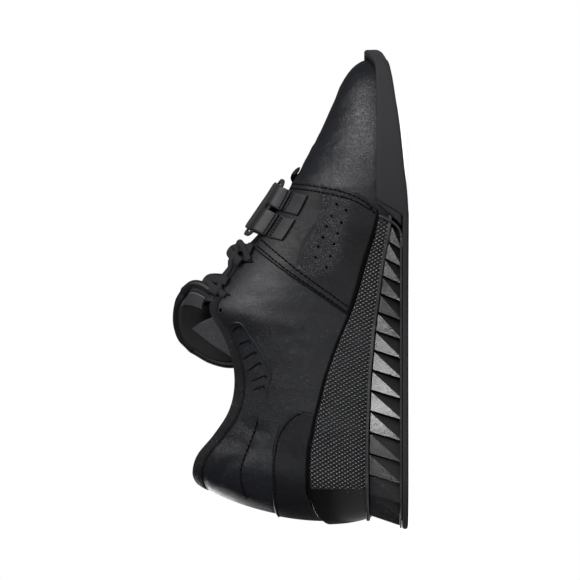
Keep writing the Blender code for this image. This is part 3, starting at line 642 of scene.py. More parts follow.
@dataclass(frozen=True)
class Finish:
    """One finish: numbers for the shader and for the effects that it uses.

    cells, pitch and slant set the size of its pattern. mask names a point attribute, from 0 to 1,
    which carries the finish over to the second colour, roughness, relief and painted glint specks.
    """

    name: str
    slot: str
    pattern: Pattern
    colour: tuple[float, float, float]
    roughness: float
    relief: float
    cells: float = 900.0
    pitch: float = 0.001
    slant: float = 0.0
    coat: float = 0.0
    shine: float = 0.5
    sheen: float = 0.0
    dust: float = 0.06
    film: float = 0.05
    dust_and_glint_colour: tuple[float, float, float] = (0.30, 0.30, 0.31)
    mask: str = ""
    second: tuple[float, float, float] = (0.1, 0.1, 0.1)
    second_roughness: float = 0.4
    second_relief: float = 0.0
    second_glints: float = 0.0

    def relief_height(self, net: Net, place: Socket, own: Socket) -> tuple[Socket, Optional[Socket]]:
        """Height of the pattern, and its tone if it has one.

        Args:
            net: the material's nodes.
            place: object coordinates.
            own: the piece's own map.

        Returns:
            Height from 0 to 1, and a tone from 0 to 1 or nothing.
        """
        if self.pattern is Pattern.LEATHER:
            out = Grain().place(net, Vector=place, Cells=self.cells)
            return out["Height"], out["Tone"]
        if self.pattern is Pattern.DOTS:
            return Dots().place(net, Vector=own, Pitch=self.pitch)["Height"], None
        if self.pattern in (Pattern.WEAVE, Pattern.MESH, Pattern.BRAID):
            out = Weave().place(net, Vector=own, Pitch=self.pitch, Slant=self.slant)
            return out["Height"], out["Over"]
        if self.pattern is Pattern.RIBS:
            return Ribs().place(net, Vector=own, Pitch=self.pitch, Slant=self.slant)["Height"], None
        return net.noise(place, self.cells, 4.0, 0.6), None

    def make(self) -> bpy.types.Material:
        """The material, made at its first use."""
        found = bpy.data.materials.get(self.name)
        if found:
            return found
        made = bpy.data.materials.new(self.name)
        made.use_nodes = True
        net = Net(made.node_tree)
        shader = made.node_tree.nodes["Principled BSDF"]
        source = net.node("ShaderNodeTexCoord")
        place, own = source.outputs["Object"], source.outputs["UV"]
        height, tone = self.relief_height(net, place, own)
        patchy = net.noise(place, 42.0, 4.0, 0.6)
        dark = tuple(0.72 * c for c in self.colour) + (1.0,)
        light = tuple(1.35 * c for c in self.colour) + (1.0,)
        colour = net.blend(net.between(patchy, 0.3, 0.7), dark, light)
        if tone is not None:
            colour = net.blend(net.math("MULTIPLY", height, 0.2), colour, light)
        rough = net.between(patchy, 0.3, 0.7, self.roughness - 0.05, self.roughness + 0.05)
        relief: Value = height
        if self.mask:
            mask = net.node("ShaderNodeAttribute", attribute_name=self.mask).outputs["Fac"]
            colour = net.blend(mask, colour, self.second + (1.0,))
            # Pale specks on the masked zone only: painted glints.
            specks = Dust().place(net, Vector=place, Specks=1000.0, Share=self.second_glints,
                                  Film=0.0)["Mask"]
            pale = tuple(0.5 * c for c in self.dust_and_glint_colour) + (1.0,)
            colour = net.blend(net.math("MULTIPLY", specks, mask), colour, pale)
            rough = net.node("ShaderNodeMix", {0: mask, 2: rough, 3: self.second_roughness}).outputs[0]
            keep = net.between(mask, 0.0, 1.0, 1.0, self.second_relief)
            relief = net.math("MULTIPLY", height, keep)
        film = Dust().place(net, Vector=place, Share=self.dust, Film=self.film)["Mask"]
        colour = net.blend(film, colour, self.dust_and_glint_colour + (1.0,))
        rough = net.math("ADD", rough, net.math("MULTIPLY", film, 0.3), clamp=True)
        bump = net.node("ShaderNodeBump", {"Height": relief, "Distance": self.relief, "Strength": 1.0})
        made.node_tree.links.new(colour, shader.inputs["Base Color"])
        made.node_tree.links.new(rough, shader.inputs["Roughness"])
        made.node_tree.links.new(bump.outputs[0], shader.inputs["Normal"])
        shader.inputs["Specular IOR Level"].default_value = self.shine
        shader.inputs["Coat Weight"].default_value = self.coat
        shader.inputs["Coat Roughness"].default_value = 0.25
        shader.inputs["Sheen Weight"].default_value = self.sheen
        return made


LEATHER = Finish("black_leather", "upper_leather", Pattern.LEATHER, (0.0080, 0.0085, 0.0115), 0.36, 0.00015,
                 cells=1300.0, dust=0.010, film=0.012, shine=0.42)
# The pebbled zone of the saddle takes a lighter second colour, more relief and pale specks that are painted glints.
OVERLAY = Finish("saddle_synthetic", "overlay_synthetic", Pattern.LEATHER, (0.0062, 0.0064, 0.0080), 0.42, 0.00012,
                 cells=1150.0, dust=0.012, film=0.015, shine=0.4, mask="pebbled", second=(0.0150, 0.0152, 0.0185),
                 second_roughness=0.36, second_relief=4.0, second_glints=0.5)
RUBBER = Finish("outsole_rubber", "outsole_rubber", Pattern.RUBBER, (0.0080, 0.0082, 0.0095), 0.55, 0.00010,
                cells=900.0, dust=0.03, film=0.03)
FACET = Finish("heel_gloss", "heel_gloss_plastic", Pattern.GLOSS, (0.0120, 0.0125, 0.0145), 0.16, 0.00010,
               cells=260.0, dust=0.04, film=0.04, coat=0.8)
# The next two are darker, matte copies of the heel's gloss plastic: painted shade in the grooves between the teeth
# and on each tooth's lower, down-facing triangle.
GROOVE_SHADE = Finish("heel_matte", "heel_gloss_plastic", Pattern.GLOSS, (0.0020, 0.0020, 0.0024), 0.70, 0.00004,
               cells=900.0, dust=0.01, film=0.01, shine=0.1)
FOLD_SHADE = Finish("heel_fold_painted_shade", "heel_gloss_plastic", Pattern.GLOSS, (0.0080, 0.0082, 0.0095), 0.50, 0.00006,
              cells=700.0, dust=0.03, film=0.02, shine=0.4)
LIP = Finish("heel_lip_grey", "heel_gloss_plastic", Pattern.GLOSS, (0.026, 0.026, 0.029), 0.34, 0.00003,
             cells=300.0, dust=0.10, film=0.10, coat=0.2)
BAND = Finish("stabiliser_band", "stabiliser_plastic", Pattern.DOTS, (0.0070, 0.0072, 0.0088), 0.26, 0.00040,
              pitch=0.0024, dust=0.02, film=0.015, mask="plain", second=(0.0018, 0.0018, 0.0022),
              second_roughness=0.20, second_relief=0.0)
FLANGE = Finish("band_flange_grey", "stabiliser_plastic", Pattern.GLOSS, (0.022, 0.022, 0.025), 0.36, 0.00003,
                cells=400.0, dust=0.10, film=0.10)
COUNTER = Finish("counter_leather", "upper_leather", Pattern.LEATHER, (0.0060, 0.0063, 0.0082), 0.42, 0.00012,
                 cells=1500.0, dust=0.006, film=0.010, shine=0.28)
MESH = Finish("lining_mesh", "lining_mesh", Pattern.MESH, (0.0080, 0.0082, 0.0095), 0.88, 0.00030,
              pitch=0.0011, slant=0.55, dust=0.01, film=0.01, shine=0.12)
INSOLE = Finish("insole_fabric", "insole_fabric", Pattern.WEAVE, (0.0120, 0.0120, 0.0135), 0.9, 0.00020,
                pitch=0.0009, sheen=0.2, dust=0.03, film=0.04)
TONGUE = Finish("tongue_synthetic", "overlay_synthetic", Pattern.LEATHER, (0.0070, 0.0073, 0.0092), 0.48, 0.00008,
                cells=1600.0, dust=0.01, film=0.01, shine=0.35)
LABEL = Finish("tongue_label", "overlay_synthetic", Pattern.GLOSS, (0.055, 0.056, 0.062), 0.50, 0.00003,
               cells=700.0, dust=0.02, film=0.04)
FLECKED = Finish("flecked_weave", "lining_mesh", Pattern.WEAVE, (0.040, 0.041, 0.045), 0.80, 0.00030,
                 pitch=0.0009, slant=0.4, dust=0.35, film=0.10)
STRAP = Finish("strap_synthetic", "strap_synthetic", Pattern.RIBS, (0.0040, 0.0041, 0.0050), 0.45, 0.00020,
               pitch=0.0012, slant=0.8, dust=0.02, film=0.01, shine=0.3)
TAB = Finish("tab_webbing", "strap_synthetic", Pattern.LEATHER, (0.0110, 0.0112, 0.0130), 0.50, 0.00006,
             cells=1800.0, dust=0.02, film=0.03)
TAPE = Finish("binding_tape", "lining_mesh", Pattern.RIBS, (0.0110, 0.0112, 0.0130), 0.66, 0.00040,
              pitch=0.0013, slant=1.1, dust=0.05, film=0.02, shine=0.25)
RING = Finish("ring_plastic", "ring_plastic", Pattern.GLOSS, (0.0040, 0.0040, 0.0048), 0.20, 0.00003,
              cells=200.0, dust=0.05, film=0.03, coat=0.3)
LACE = Finish("lace_cotton", "lace_cotton", Pattern.BRAID, (0.0070, 0.0072, 0.0085), 0.80, 0.00045,
              pitch=0.0012, slant=1.0, dust=0.02, film=0.02, shine=0.2)
# Dark stitch thread; the same finish also paints shade on the flat lines under the stitches, as furrows, and on the
# collar's sunk ribs.
THREAD_AND_GROOVE_SHADE = Finish("thread_and_groove_shade", "lace_cotton", Pattern.GLOSS, (0.0028, 0.0028, 0.0034), 0.55, 0.00003,
                cells=3000.0, dust=0.0, film=0.0, shine=0.08)
# Near black and without shine: painted shade inside the pinholes and the eyelet, and along the edges of the lace
# loops' slots.
HOLE_SHADE = Finish("hole_painted_shade", "overlay_synthetic", Pattern.GLOSS, (0.0008, 0.0008, 0.0010), 0.80, 0.00003,
              cells=900.0, dust=0.0, film=0.0, shine=0.0)


@dataclass
class Patch:
    """Grid of points, with its map and its point masks of the same rows and columns."""

    points: Array
    uv: Optional[Array] = None
    masks: dict[str, Array] = field(default_factory=dict)
    finish: int = 0

    def own_map(self) -> Array:
        """Map in metres: mean length along the rows, and each row's own length along it."""
        if self.uv is not None:
            return self.uv
        rows = np.linalg.norm(np.diff(self.points, axis=0), axis=-1).mean(1)
        cols = np.linalg.norm(np.diff(self.points, axis=1), axis=-1)
        a = np.concatenate([[0], np.cumsum(rows)])
        b = np.pad(np.cumsum(cols, axis=1), ((0, 0), (1, 0)))
        return np.stack(np.broadcast_arrays(a[:, None], b), -1)


def quads(rows: int, cols: int, first: int = 0) -> Array:
    """Four corners of each cell of a grid whose points are numbered row by row."""
    index = np.arange(rows * cols).reshape(rows, cols) + first
    corners = (index[:-1, :-1], index[1:, :-1], index[1:, 1:], index[:-1, 1:])
    return np.stack([c.ravel() for c in corners], -1)


def piece(name: str, patches: Sequence[Patch], finish: Finish, *others: Finish, closed: bool = True,
          soft: bool = True, weld: float = 2e-6) -> bpy.types.Object:
    """One object from its patches, welded where their points meet.

    Args:
        name: name of the object.
        patches: grids of points, each with the number of its finish.
        finish: what it is made of.
        others: further finishes, from number 1 on.
        closed: whether the surface is closed, so that its normals can be recalculated.
        soft: smooth shading.
        weld: distance under which points are joined.

    Returns:
        The object, which rides on the root body.
    """
    points = np.concatenate([p.points.reshape(-1, 3) for p in patches]) - ORIGIN
    starts = np.cumsum([0] + [p.points.shape[0] * p.points.shape[1] for p in patches])
    faces = np.concatenate([quads(*p.points.shape[:2], s) for p, s in zip(patches, starts)])
    maps = np.concatenate([p.own_map().reshape(-1, 2) for p in patches])
    mesh = bpy.data.meshes.new(name)
    mesh.vertices.add(len(points))
    mesh.vertices.foreach_set("co", points.astype(np.float32).ravel())
    mesh.loops.add(faces.size)
    mesh.loops.foreach_set("vertex_index", faces.astype(np.int32).ravel())
    mesh.polygons.add(len(faces))
    mesh.polygons.foreach_set("loop_start", np.arange(0, faces.size, 4, dtype=np.int32))
    numbers = [np.full((p.points.shape[0] - 1) * (p.points.shape[1] - 1), p.finish) for p in patches]
    mesh.polygons.foreach_set("material_index", np.concatenate(numbers).astype(np.int32))
    mesh.update(calc_edges=True)
    mesh.uv_layers.new(name="own_map").data.foreach_set("uv", maps[faces.ravel()].astype(np.float32).ravel())
    for label in sorted({key for p in patches for key in p.masks}):
        values = [p.masks.get(label, np.zeros(p.points.shape[:2])).ravel() for p in patches]
        layer = mesh.attributes.new(label, "FLOAT", "POINT")
        layer.data.foreach_set("value", np.concatenate(values).astype(np.float32))
    work = bmesh.new()
    work.from_mesh(mesh)
    bmesh.ops.remove_doubles(work, verts=work.verts, dist=weld)
    bmesh.ops.dissolve_degenerate(work, edges=work.edges, dist=1e-7)
    if closed:
        bmesh.ops.recalc_face_normals(work, faces=work.faces)
    work.to_mesh(mesh)
    work.free()
    mesh.polygons.foreach_set("use_smooth", [soft] * len(mesh.polygons))
    for one in (finish, *others):
        mesh.materials.append(one.make())
    made = bpy.data.objects.new(name, mesh)
    bpy.context.scene.collection.objects.link(made)
    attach(made, "root")
    LOG.info("%s: %d faces", name, len(mesh.polygons))
    return made


def wrapped(sections: Array, masks: Optional[dict[str, Array]] = None, ends: bool = True) -> list[Patch]:
    """Closed skin of a row of closed sections.

    Args:
        sections: rows of section points, without the first one repeated at the end.
        masks: point masks of the same rows and columns.
        ends: whether the two end sections are filled, each to its own middle.

    Returns:
        The wall, and a fan at each end.
    """
    looped = np.concatenate([sections, sections[:, :1]], axis=1)
    masks = {key: np.concatenate([m, m[:, :1]], axis=1) for key, m in (masks or {}).items()}
    made = [Patch(looped, masks=masks)]
    for row in (0, -1) if ends else ():
        middle = np.broadcast_to(looped[row].mean(0), looped[row].shape)
        near = {key: np.stack([m[row], m[row]]) for key, m in masks.items()}
        made.append(Patch(np.stack([looped[row], middle]), masks=near))
    return made


def tube(path: Array, radius: Union[float, Array], sides: int = 8, flat: float = 1.0,
         up: Optional[Array] = None) -> list[Patch]:
    """Round or flattened tube carried along a path.

    The section is an ellipse set square to the path: its wide axis lies across the way up
    and its narrow one, flat times as long, along it.

    Args:
        path: points of the middle line.
        radius: half the width, one number or one a point.
        sides: points round a section.
        flat: height as a share of the width.
        up: direction out of what it lies on, one a point.

    Returns:
        Its patches.
    """
    along = unit(np.gradient(path, axis=0))
    out = np.broadcast_to(np.array([0.0, 0.0, 1.0]), path.shape) if up is None else up
    over = unit(np.cross(along, out))
    out = unit(np.cross(over, along))
    turn = np.linspace(0, 2 * np.pi, sides, endpoint=False)
    wide = np.broadcast_to(np.asarray(radius, float), path.shape[:1])[:, None, None]
    ring = over[:, None] * np.cos(turn)[None, :, None] + out[:, None] * np.sin(turn)[None, :, None] * flat
    return wrapped(path[:, None] + ring * wide)


def shell(outer: Array, inner: Array, masks: Optional[dict[str, Array]] = None) -> list[Patch]:
    """Closed form between two faces of the same rows and columns.

    Args:
        outer: points of the outer face.
        inner: points of the inner face.
        masks: point masks of the outer face.

    Returns:
        The outer face, the inner face and the four strips of the rim.
    """
    masks = masks or {}
    patches = [Patch(outer, masks=masks), Patch(inner[:, ::-1])]
    for cut in ((slice(None), 0), (slice(None), -1), (0, slice(None)), (-1, slice(None))):
        edge = np.stack([outer[cut], inner[cut]], 1)
        patches.append(Patch(edge, masks={k: np.stack([m[cut], m[cut]], 1) for k, m in masks.items()}))
    return patches


def plate(places: Array, share: Array, thick: Array, masks: Optional[dict[str, Array]] = None) -> list[Patch]:
    """Panel that lies off the skin by the clearance.

    Args:
        places: grid of places round the foot.
        share: grid of places up the wall.
        thick: distance of its outer face from its inner one, one a point.
        masks: point masks of the outer face.

    Returns:
        The outer face, the inner face and the rim.
    """
    near = np.full(places.shape, LAST.gap)
    return shell(LAST.off(places, share, LAST.gap + thick), LAST.off(places, share, near), masks)


def across_foot(loop: Array, count: int) -> Array:
    """Face between the two halves of a loop that runs from the toe round the heel."""
    half = len(loop) // 2
    fill = np.linspace(0, 1, count)[None, :, None]
    return loop[half::-1][:, None] * (1 - fill) + loop[half:][:, None] * fill


def disc(middle: Array, out: Array, radius: Sequence, lift: Sequence, sides: int) -> Array:
    """Rings square to the way out, each with its radius and its lift in millimetres."""
    a = unit(np.cross(out, np.array([0.0, 0.0, 1.0])))
    turn = np.linspace(0, 2 * np.pi, sides)[:, None, None]
    ring = a * np.cos(turn) + np.cross(out, a) * np.sin(turn)
    return middle + (ring * np.array(radius)[:, None] + out * np.array(lift)[:, None]) * MM


def grid_edge(rows: int, cols: int, size: Array, width: float) -> Array:
    """Soft fall from 1 inside to 0 at the rim of a grid.

    Args:
        rows: number of rows.
        cols: number of columns.
        size: mean length and width of the panel in metres.
        width: width of the rounded rim.

    Returns:
        Quarter-circle profile of the distance to the nearest rim.
    """
    a = np.minimum(np.linspace(0, 1, rows), np.linspace(1, 0, rows))[:, None] * size[0]
    b = np.minimum(np.linspace(0, 1, cols), np.linspace(1, 0, cols))[None, :] * size[1]
    t = np.clip(np.minimum(a, b) / width, 0, 1)
    return np.sqrt(1 - (1 - t) ** 2)


class SubAssembly:
    """A group of pieces that are made together."""

    def build(self) -> None:
        """Make the pieces."""
        raise NotImplementedError


@dataclass
class Outsole(SubAssembly):
    """Tread, forefoot side wall, toe bumper and toe spring in one rubber piece.

    Loops round the foot are the sole's edge moved in and up by the rows of the profile, from
    the tread over the rounded edge to the rim, and down the inside to the upper's seat.
    """

    edge_radius: float = 0.0024
    toe_radius: float = 0.0062
    count: int = 300

    def build(self) -> None:
        """Side wall swept round the foot, and both faces filled across it."""
        u = np.linspace(-LAST.rows, LAST.rows, 2 * self.count + 1)
        made = piece("outsole_rubber", self.patches(u), RUBBER)
        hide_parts("outsole")
        for side in Side:
            piece(f"arch_web_{side}", self.web(side), RUBBER)

    def loop(self, u: Array, distance: float, which: Level, lift: float) -> Array:
        """The sole's edge moved in by a distance, at a level and a lift."""
        x = LAST.edge(u)[0][:, 0]
        z = LAST.level(which, x)
        if which is not Level.TREAD:
            z = np.maximum(z, LAST.level(Level.TREAD, x) + LAST.outsole_heel)
        return np.concatenate([LAST.inset(u, distance), (z + lift)[:, None]], -1)

    def web(self, side: Side) -> list[Patch]:
        """Rubber that carries the side wall back to its slanted rear edge.

        Args:
            side: side of the foot.

        Returns:
            A thin wall with rounded edges, from the rear edge forward into the side wall.
        """
        z = np.linspace(0.0042, 0.0180, 14)
        rear = np.interp(z, np.array([2.0, 6.0, 12.5, 18.4]) * MM, np.array([184.5, 189.5, 195.5, 200.5]) * MM)
        x = rear[None, :] + (0.2120 - rear)[None, :] * np.linspace(0, 1, 24)[:, None]
        u = LAST.along(side, x, 8, 16)
        near = np.minimum(x - rear[None, :], 0.0012) / 0.0012
        deep = 0.0010 + 0.0012 * (1 - np.sqrt(1 - (1 - near) ** 2))
        return shell(*(np.concatenate([LAST.inset(u, d), np.broadcast_to(z, x.shape)[..., None]], -1)
                       for d in (deep, np.full(x.shape, 0.0034))))

    def patches(self, u: Array) -> list[Patch]:
        """The side and the two faces.

        Args:
            u: places round the foot, from the toe round the heel to the toe.

        Returns:
            Grids that meet at their edges.
        """
        toe = smooth(LAST.edge(u)[0][:, 0] / LAST.length, 0.90, 0.995)
        r = self.edge_radius + (self.toe_radius - self.edge_radius) * toe
        turn = np.linspace(0, np.pi / 2, 7)
        outer = [self.loop(u, r * (1 - np.sin(t)), Level.TREAD, (0.55 + 0.4 * toe) * r * (1 - np.cos(t)))
                 for t in turn]
        low = outer[-1]
        high = self.loop(u, 0.0, Level.SIDE_TOP, -0.0012)
        high[:, 2] = np.maximum(high[:, 2], low[:, 2] + 0.0006)
        side = [low + (high - low) * t for t in np.linspace(0, 1, 7)[1:]]
        rim = self.loop(u, 0.0009, Level.SIDE_TOP, 0.0)
        rim[:, 2] = np.maximum(rim[:, 2], high[:, 2] + 0.0006)
        mid = (high + rim) / 2 + np.concatenate([LAST.edge(u)[1] * 0.0002, np.full((len(u), 1), 0.0002)], 1)
        clear = LAST.gap + 0.0002
        fore = smooth(np.abs(u), LAST.band_front, LAST.band_front + 0.5)[:, None]
        place = LAST.height_on(u, lambda x: LAST.level(Level.SIDE_TOP, x))
        inner = LAST.off(u, place, clear)
        inner[:, 2] = rim[:, 2]
        foot = LAST.off(u, np.zeros(len(u)), clear)
        inner = fore * inner + (1 - fore) * self.loop(u, LAST.side_wall - 0.0006, Level.SIDE_TOP, 0.0)
        inner[:, 2] = rim[:, 2]
        foot = fore * foot + (1 - fore) * self.loop(u, LAST.side_wall + 0.0001, Level.TREAD, 0.0)
        foot[:, 2] = self.seat(foot[:, 0])
        loops = np.stack(outer + side + [mid, rim, inner, foot], 1)
        tread, seat = across_foot(loops[:, 0], 40), across_foot(loops[:, -1], 40)
        tread[..., 2] = LAST.level(Level.TREAD, tread[..., 0])
        seat[..., 2] = self.seat(seat[..., 0])
        return [Patch(loops), Patch(tread), Patch(seat)]

    @staticmethod
    def seat(x: Array) -> Array:
        """Height of the inner face: a thin plate under the heel block, then the upper's seat."""
        fore = np.clip((x / LAST.length - 0.641) / 0.015, 0, 1)
        return LAST.outsole_heel + (LAST.level(Level.SEAT, x) - LAST.outsole_heel) * fore


@dataclass
class HeelBlock(SubAssembly):
    """Hard wedge whose side is a row of folded triangular facets, with a thin lip at its foot.

    Each cell of the row is a tooth: its rear edge stands on the outline and its front edge
    lies deeper, most of all at its foot, and a fold runs from front top to rear bottom. The
    teeth grow from the arch to the heel.
    """

    teeth: int = 17
    growth: float = 1.20
    depth: float = 0.0050
    high_share: float = 0.35
    groove: float = 0.0016
    lean: float = 0.0050
    front: float = 12.9
    lip_height: float = 0.0012
    lip_width: float = 0.0012
    batter: float = 0.0010
    frame: tuple = ((193.5, 17.0), (192.0, 13.5), (189.5, 9.0), (185.5, 5.4), (181.0, 4.1), (176.0, 3.9))

    def build(self) -> None:
        """Facets, lip and the frame at the front of the row."""
        made = piece("heel_facets", self.facets(), FACET, GROOVE_SHADE, FOLD_SHADE, soft=False)
        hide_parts("heel_block")
        bevel = made.modifiers.new("edge", "BEVEL")
        bevel.width = 0.00025
        bevel.segments = 2
        bevel.limit_method = "ANGLE"
        bevel.angle_limit = np.radians(12)
        piece("heel_lip", self.lip(), LIP)
        for side in Side:
            piece(f"heel_frame_{side}", self.window(side), LIP)

    def places(self, side: int) -> tuple[Array, Array, Array, Array]:
        """Places of the teeth's corners along one side.

        A tooth's pitch is the mean one times a share that runs from 2 - growth at the front to
        growth at the back.

        Args:
            side: 1 or -1.

        Returns:
            Place round the foot at the foot and at the top, and depth at both.
        """
        fine = np.linspace(0, self.front, 500)
        xy, _ = LAST.edge(side * fine)
        length = lengths(xy)
        total = length[-1] - 0.001
        share = (np.arange(self.teeth + 1) + 0.5) / (self.teeth + 0.5)
        steps = (self.growth * share + (1 - self.growth) * share ** 2) * total
        back = min(self.lean, 0.42 * total / (self.teeth + 0.5))
        rear, front = steps[:-1] + self.groove / 2, steps[1:] - self.groove / 2
        high = np.concatenate([[steps[0] - self.groove / 2], np.stack([rear, front], 1).ravel()])
        low = np.concatenate([[0.001], np.stack([rear - back, front - back], 1).ravel()])
        cut = np.concatenate([[0.0], np.tile([0.0, 1.0], self.teeth)]) * self.depth
        return (side * np.interp(low, length, fine), side * np.interp(high, length, fine),
                cut, cut * self.high_share)

    def facets(self) -> list[Patch]:
        """Loops at the foot and the top of the block, with a fold across each cell."""
        halves = []
        for side in (1, -1):
            low, high, low_cut, high_cut = self.places(side)
            rows = []
            for u, cut, flare in ((low, low_cut, 0.0), (high, high_cut, 1.0)):
                xy = LAST.inset(u, 0.0015 + flare * (self.batter + 0.0052 * np.exp(-(u / 2.4) ** 2)) + cut)
                foot = np.full(len(u), LAST.outsole_heel + LAST.gap)
                top = LAST.level(Level.SEAT, xy[:, 0]) - LAST.gap
                rows.append(np.concatenate([xy, np.where(flare > 0, top, foot)[:, None]], -1))
            halves.append(rows)
        patches = []
        # Grooves and the block's bottom, top and end faces take finish 1, painted shade; on each tooth the triangle
        # with two corners at the foot takes finish 2, painted shade, and the one with two corners at the top takes
        # finish 0, the plain gloss.
        for low, high in halves:
            for k in range(len(low) - 1):
                a, b, c, d = low[k], low[k + 1], high[k + 1], high[k]
                patches.append(Patch(np.array([[a, a], [b, c]]), finish=1 + k % 2))
                patches.append(Patch(np.array([[a, d], [c, c]]), finish=(k + 1) % 2))
        for k in (0, 1):
            patches.append(Patch(np.stack([halves[0][k], halves[1][k]], 1), finish=1))
        for end in (0, -1):
            patches.append(Patch(np.array([[halves[0][k][end], halves[1][k][end]] for k in (0, 1)]), finish=1))
        return patches

    def lip(self) -> list[Patch]:
        """Rounded strip round the foot of the facets, just above the tread plate."""
        u = np.linspace(-self.front + 0.4, self.front - 0.4, 420)
        tall = self.lip_height / 2
        middle = LAST.outsole_heel + LAST.gap + tall
        rings = []
        for t in np.linspace(0, 2 * np.pi, 12, endpoint=False):
            xy = LAST.inset(u, 0.0016 - self.lip_width * blunt(np.cos(t), 0.6))
            rings.append(np.insert(xy, 2, middle + tall * blunt(np.sin(t), 0.6), axis=1))
        return wrapped(np.stack(rings, 1))

    def window(self, side: Side) -> list[Patch]:
        """Rounded bar from the flange's front down to the lip, along the frame's marks."""
        marks = resample(np.array(self.frame) * MM, 40)
        u = LAST.along(side, marks[:, 0], 8, 15)
        path = np.concatenate([LAST.inset(u, np.full(len(u), 0.0012)), marks[:, 1:]], -1)
        out = np.concatenate([LAST.edge(u)[1], np.zeros((len(u), 1))], -1)
        return tube(path, 0.00075, 10, up=out)


@dataclass
class Stabiliser(SubAssembly):
    """Band from the arch round the heel, dotted in relief, with a pale flange along its foot.

    It runs off the skin at a near constant distance, from the seat to the curve of its top.
    """

    wall: float = 0.0030
    flange: float = 0.0020
    corner: float = 0.0005
    moulding: float = 0.033
    count: int = 300

    def build(self) -> None:
        """Band, flange and the bead along the top."""
        u = np.linspace(-LAST.band_front, LAST.band_front, 2 * self.count + 1)
        limit = LAST.meets(u, BAND_TOP)
        made = piece("stabiliser_band", self.band(u, limit), BAND)
        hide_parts("heel_stabiliser")
        piece("stabiliser_flange", self.foot(u), FLANGE)
        over = LAST.off(u, limit + 0.006, LAST.gap + 0.0006 + 0 * u)
        piece("band_piping", tube(over, 0.0008, 8, up=LAST.outward(u, limit)), THREAD_AND_GROOVE_SHADE)

    def full(self, u: Array) -> Array:
        """Distance of the band's outer face, which thins out at its front."""
        thin = 0.3 + 0.7 * smooth(LAST.band_front - np.abs(u), 0.0, 0.8)
        return LAST.gap + self.wall * thin

    def band(self, u: Array, limit: Array) -> list[Patch]:
        """Closed sections: up the outer face, over the rounded top and down the inner one."""
        share = np.concatenate([np.linspace(0.02, 0.97, 30), [0.985, 0.997, 1.0]])
        round_top = np.concatenate([np.ones(30), [0.94, 0.78, 0.5]])
        full = self.full(u)
        outer = [LAST.off(u, limit * s, LAST.gap + 0.0003 + (full - LAST.gap - 0.0003) * r)
                 for s, r in zip(share, round_top)]
        inner = [LAST.off(u, limit * s, LAST.gap + 0.0003 + 0 * u) for s in (1.0, 0.6, 0.3, 0.02)]
        sections = np.stack(outer + inner, 1)
        high = np.concatenate([share, np.ones(4)])[None, :]
        x = sections[..., 0]
        ridge = 0.00022 * np.exp(-((x - self.moulding) / 0.0009) ** 2)
        normal = LAST.outward(u[:, None], np.clip(limit[:, None] * np.minimum(high, 1), 0, 1))
        sections = sections + normal * (ridge * (high < 1))[..., None]
        ends = np.maximum(smooth(high, 0.93, 0.955), smooth(np.abs(u), 12.9, 13.1)[:, None])
        rear = 1 - smooth(x, self.moulding - 0.0006, self.moulding + 0.0006)
        return wrapped(sections, {"plain": np.maximum(rear, ends)})

    def foot(self, u: Array) -> list[Patch]:
        """Flange: a flat strip from the seat up, standing out under the band, its corners rounded."""
        base = LAST.skin(u, 0 * u)
        seat = LAST.level(Level.SEAT, base[:, 0]) + LAST.gap
        full = self.full(u) + 0.0018 * np.clip((LAST.band_front + 0.3 - np.abs(u)) / 2, 0.1, 1)
        rows = []
        for out, lift in ((0, 0), (1, 0), (1, 1), (0, 1)):
            for turn in np.linspace(0, np.pi / 2, 4):
                a, b = (np.cos(turn), np.sin(turn)) if out == lift else (np.sin(turn), np.cos(turn))
                distance = full if out else LAST.gap + 0.0002 + 0 * u
                distance = distance + self.corner * (1 - 2 * out) * (1 - a)
                point = LAST.off(u, 0 * u + 0.02, distance)
                point[:, 2] = seat + self.flange * lift + self.corner * (1 - 2 * lift) * (1 - b)
                rows.append(point)
        return wrapped(np.stack(rows, 1))


@dataclass(frozen=True)
class Crease:
    """Soft trough along a line on the leather, with a low swell on both sides.

    marks are distance from the heel and height in millimetres, as seen from the side.
    """

    marks: tuple
    width: float
    depth: float
    swell: float = 0.45


CREASES = (
    Crease(((212, 88), (209, 72), (213, 55), (219, 40)), 3.2, 0.55),
    Crease(((236, 64), (231, 55), (228, 44), (229, 33)), 3.4, 0.45),
    Crease(((243, 58), (240, 50), (238, 42)), 2.2, 0.36),
    Crease(((205, 66), (208, 56), (206, 46)), 2.6, 0.40),
    Crease(((226, 62), (223, 50), (224, 40)), 2.4, 0.38),
    Crease(((252, 50), (249, 43), (249, 36)), 2.4, 0.30),
    Crease(((219, 70), (217, 62), (217, 52)), 1.8, 0.32),
    Crease(((233, 55), (236, 47), (241, 40)), 1.8, 0.26),
    Crease(((262, 46), (259, 40), (261, 33)), 2.6, 0.22),
    Crease(((150, 104), (147, 92), (149, 80)), 2.6, 0.20),
    Crease(((143, 92), (137, 78), (138, 62)), 3.6, 0.22),
    Crease(((127, 82), (123, 70), (126, 58)), 4.2, 0.18),
    Crease(((113, 74), (117, 66), (115, 58)), 2.6, 0.24),
    Crease(((120, 66), (112, 62), (103, 63)), 2.2, 0.18),
    Crease(((104, 90), (101, 78), (104, 68)), 4.4, 0.14),
    Crease(((72, 104), (66, 92), (63, 84)), 4.0, 0.34),
    Crease(((58, 92), (48, 100), (43, 108)), 3.0, 0.36),
    Crease(((49, 106), (40, 113), (30, 119)), 3.2, 0.55),
    Crease(((160, 90), (158, 80), (155, 72)), 3.0, 0.18),
    Crease(((133, 66), (124, 62), (112, 64)), 2.0, 0.16),
)


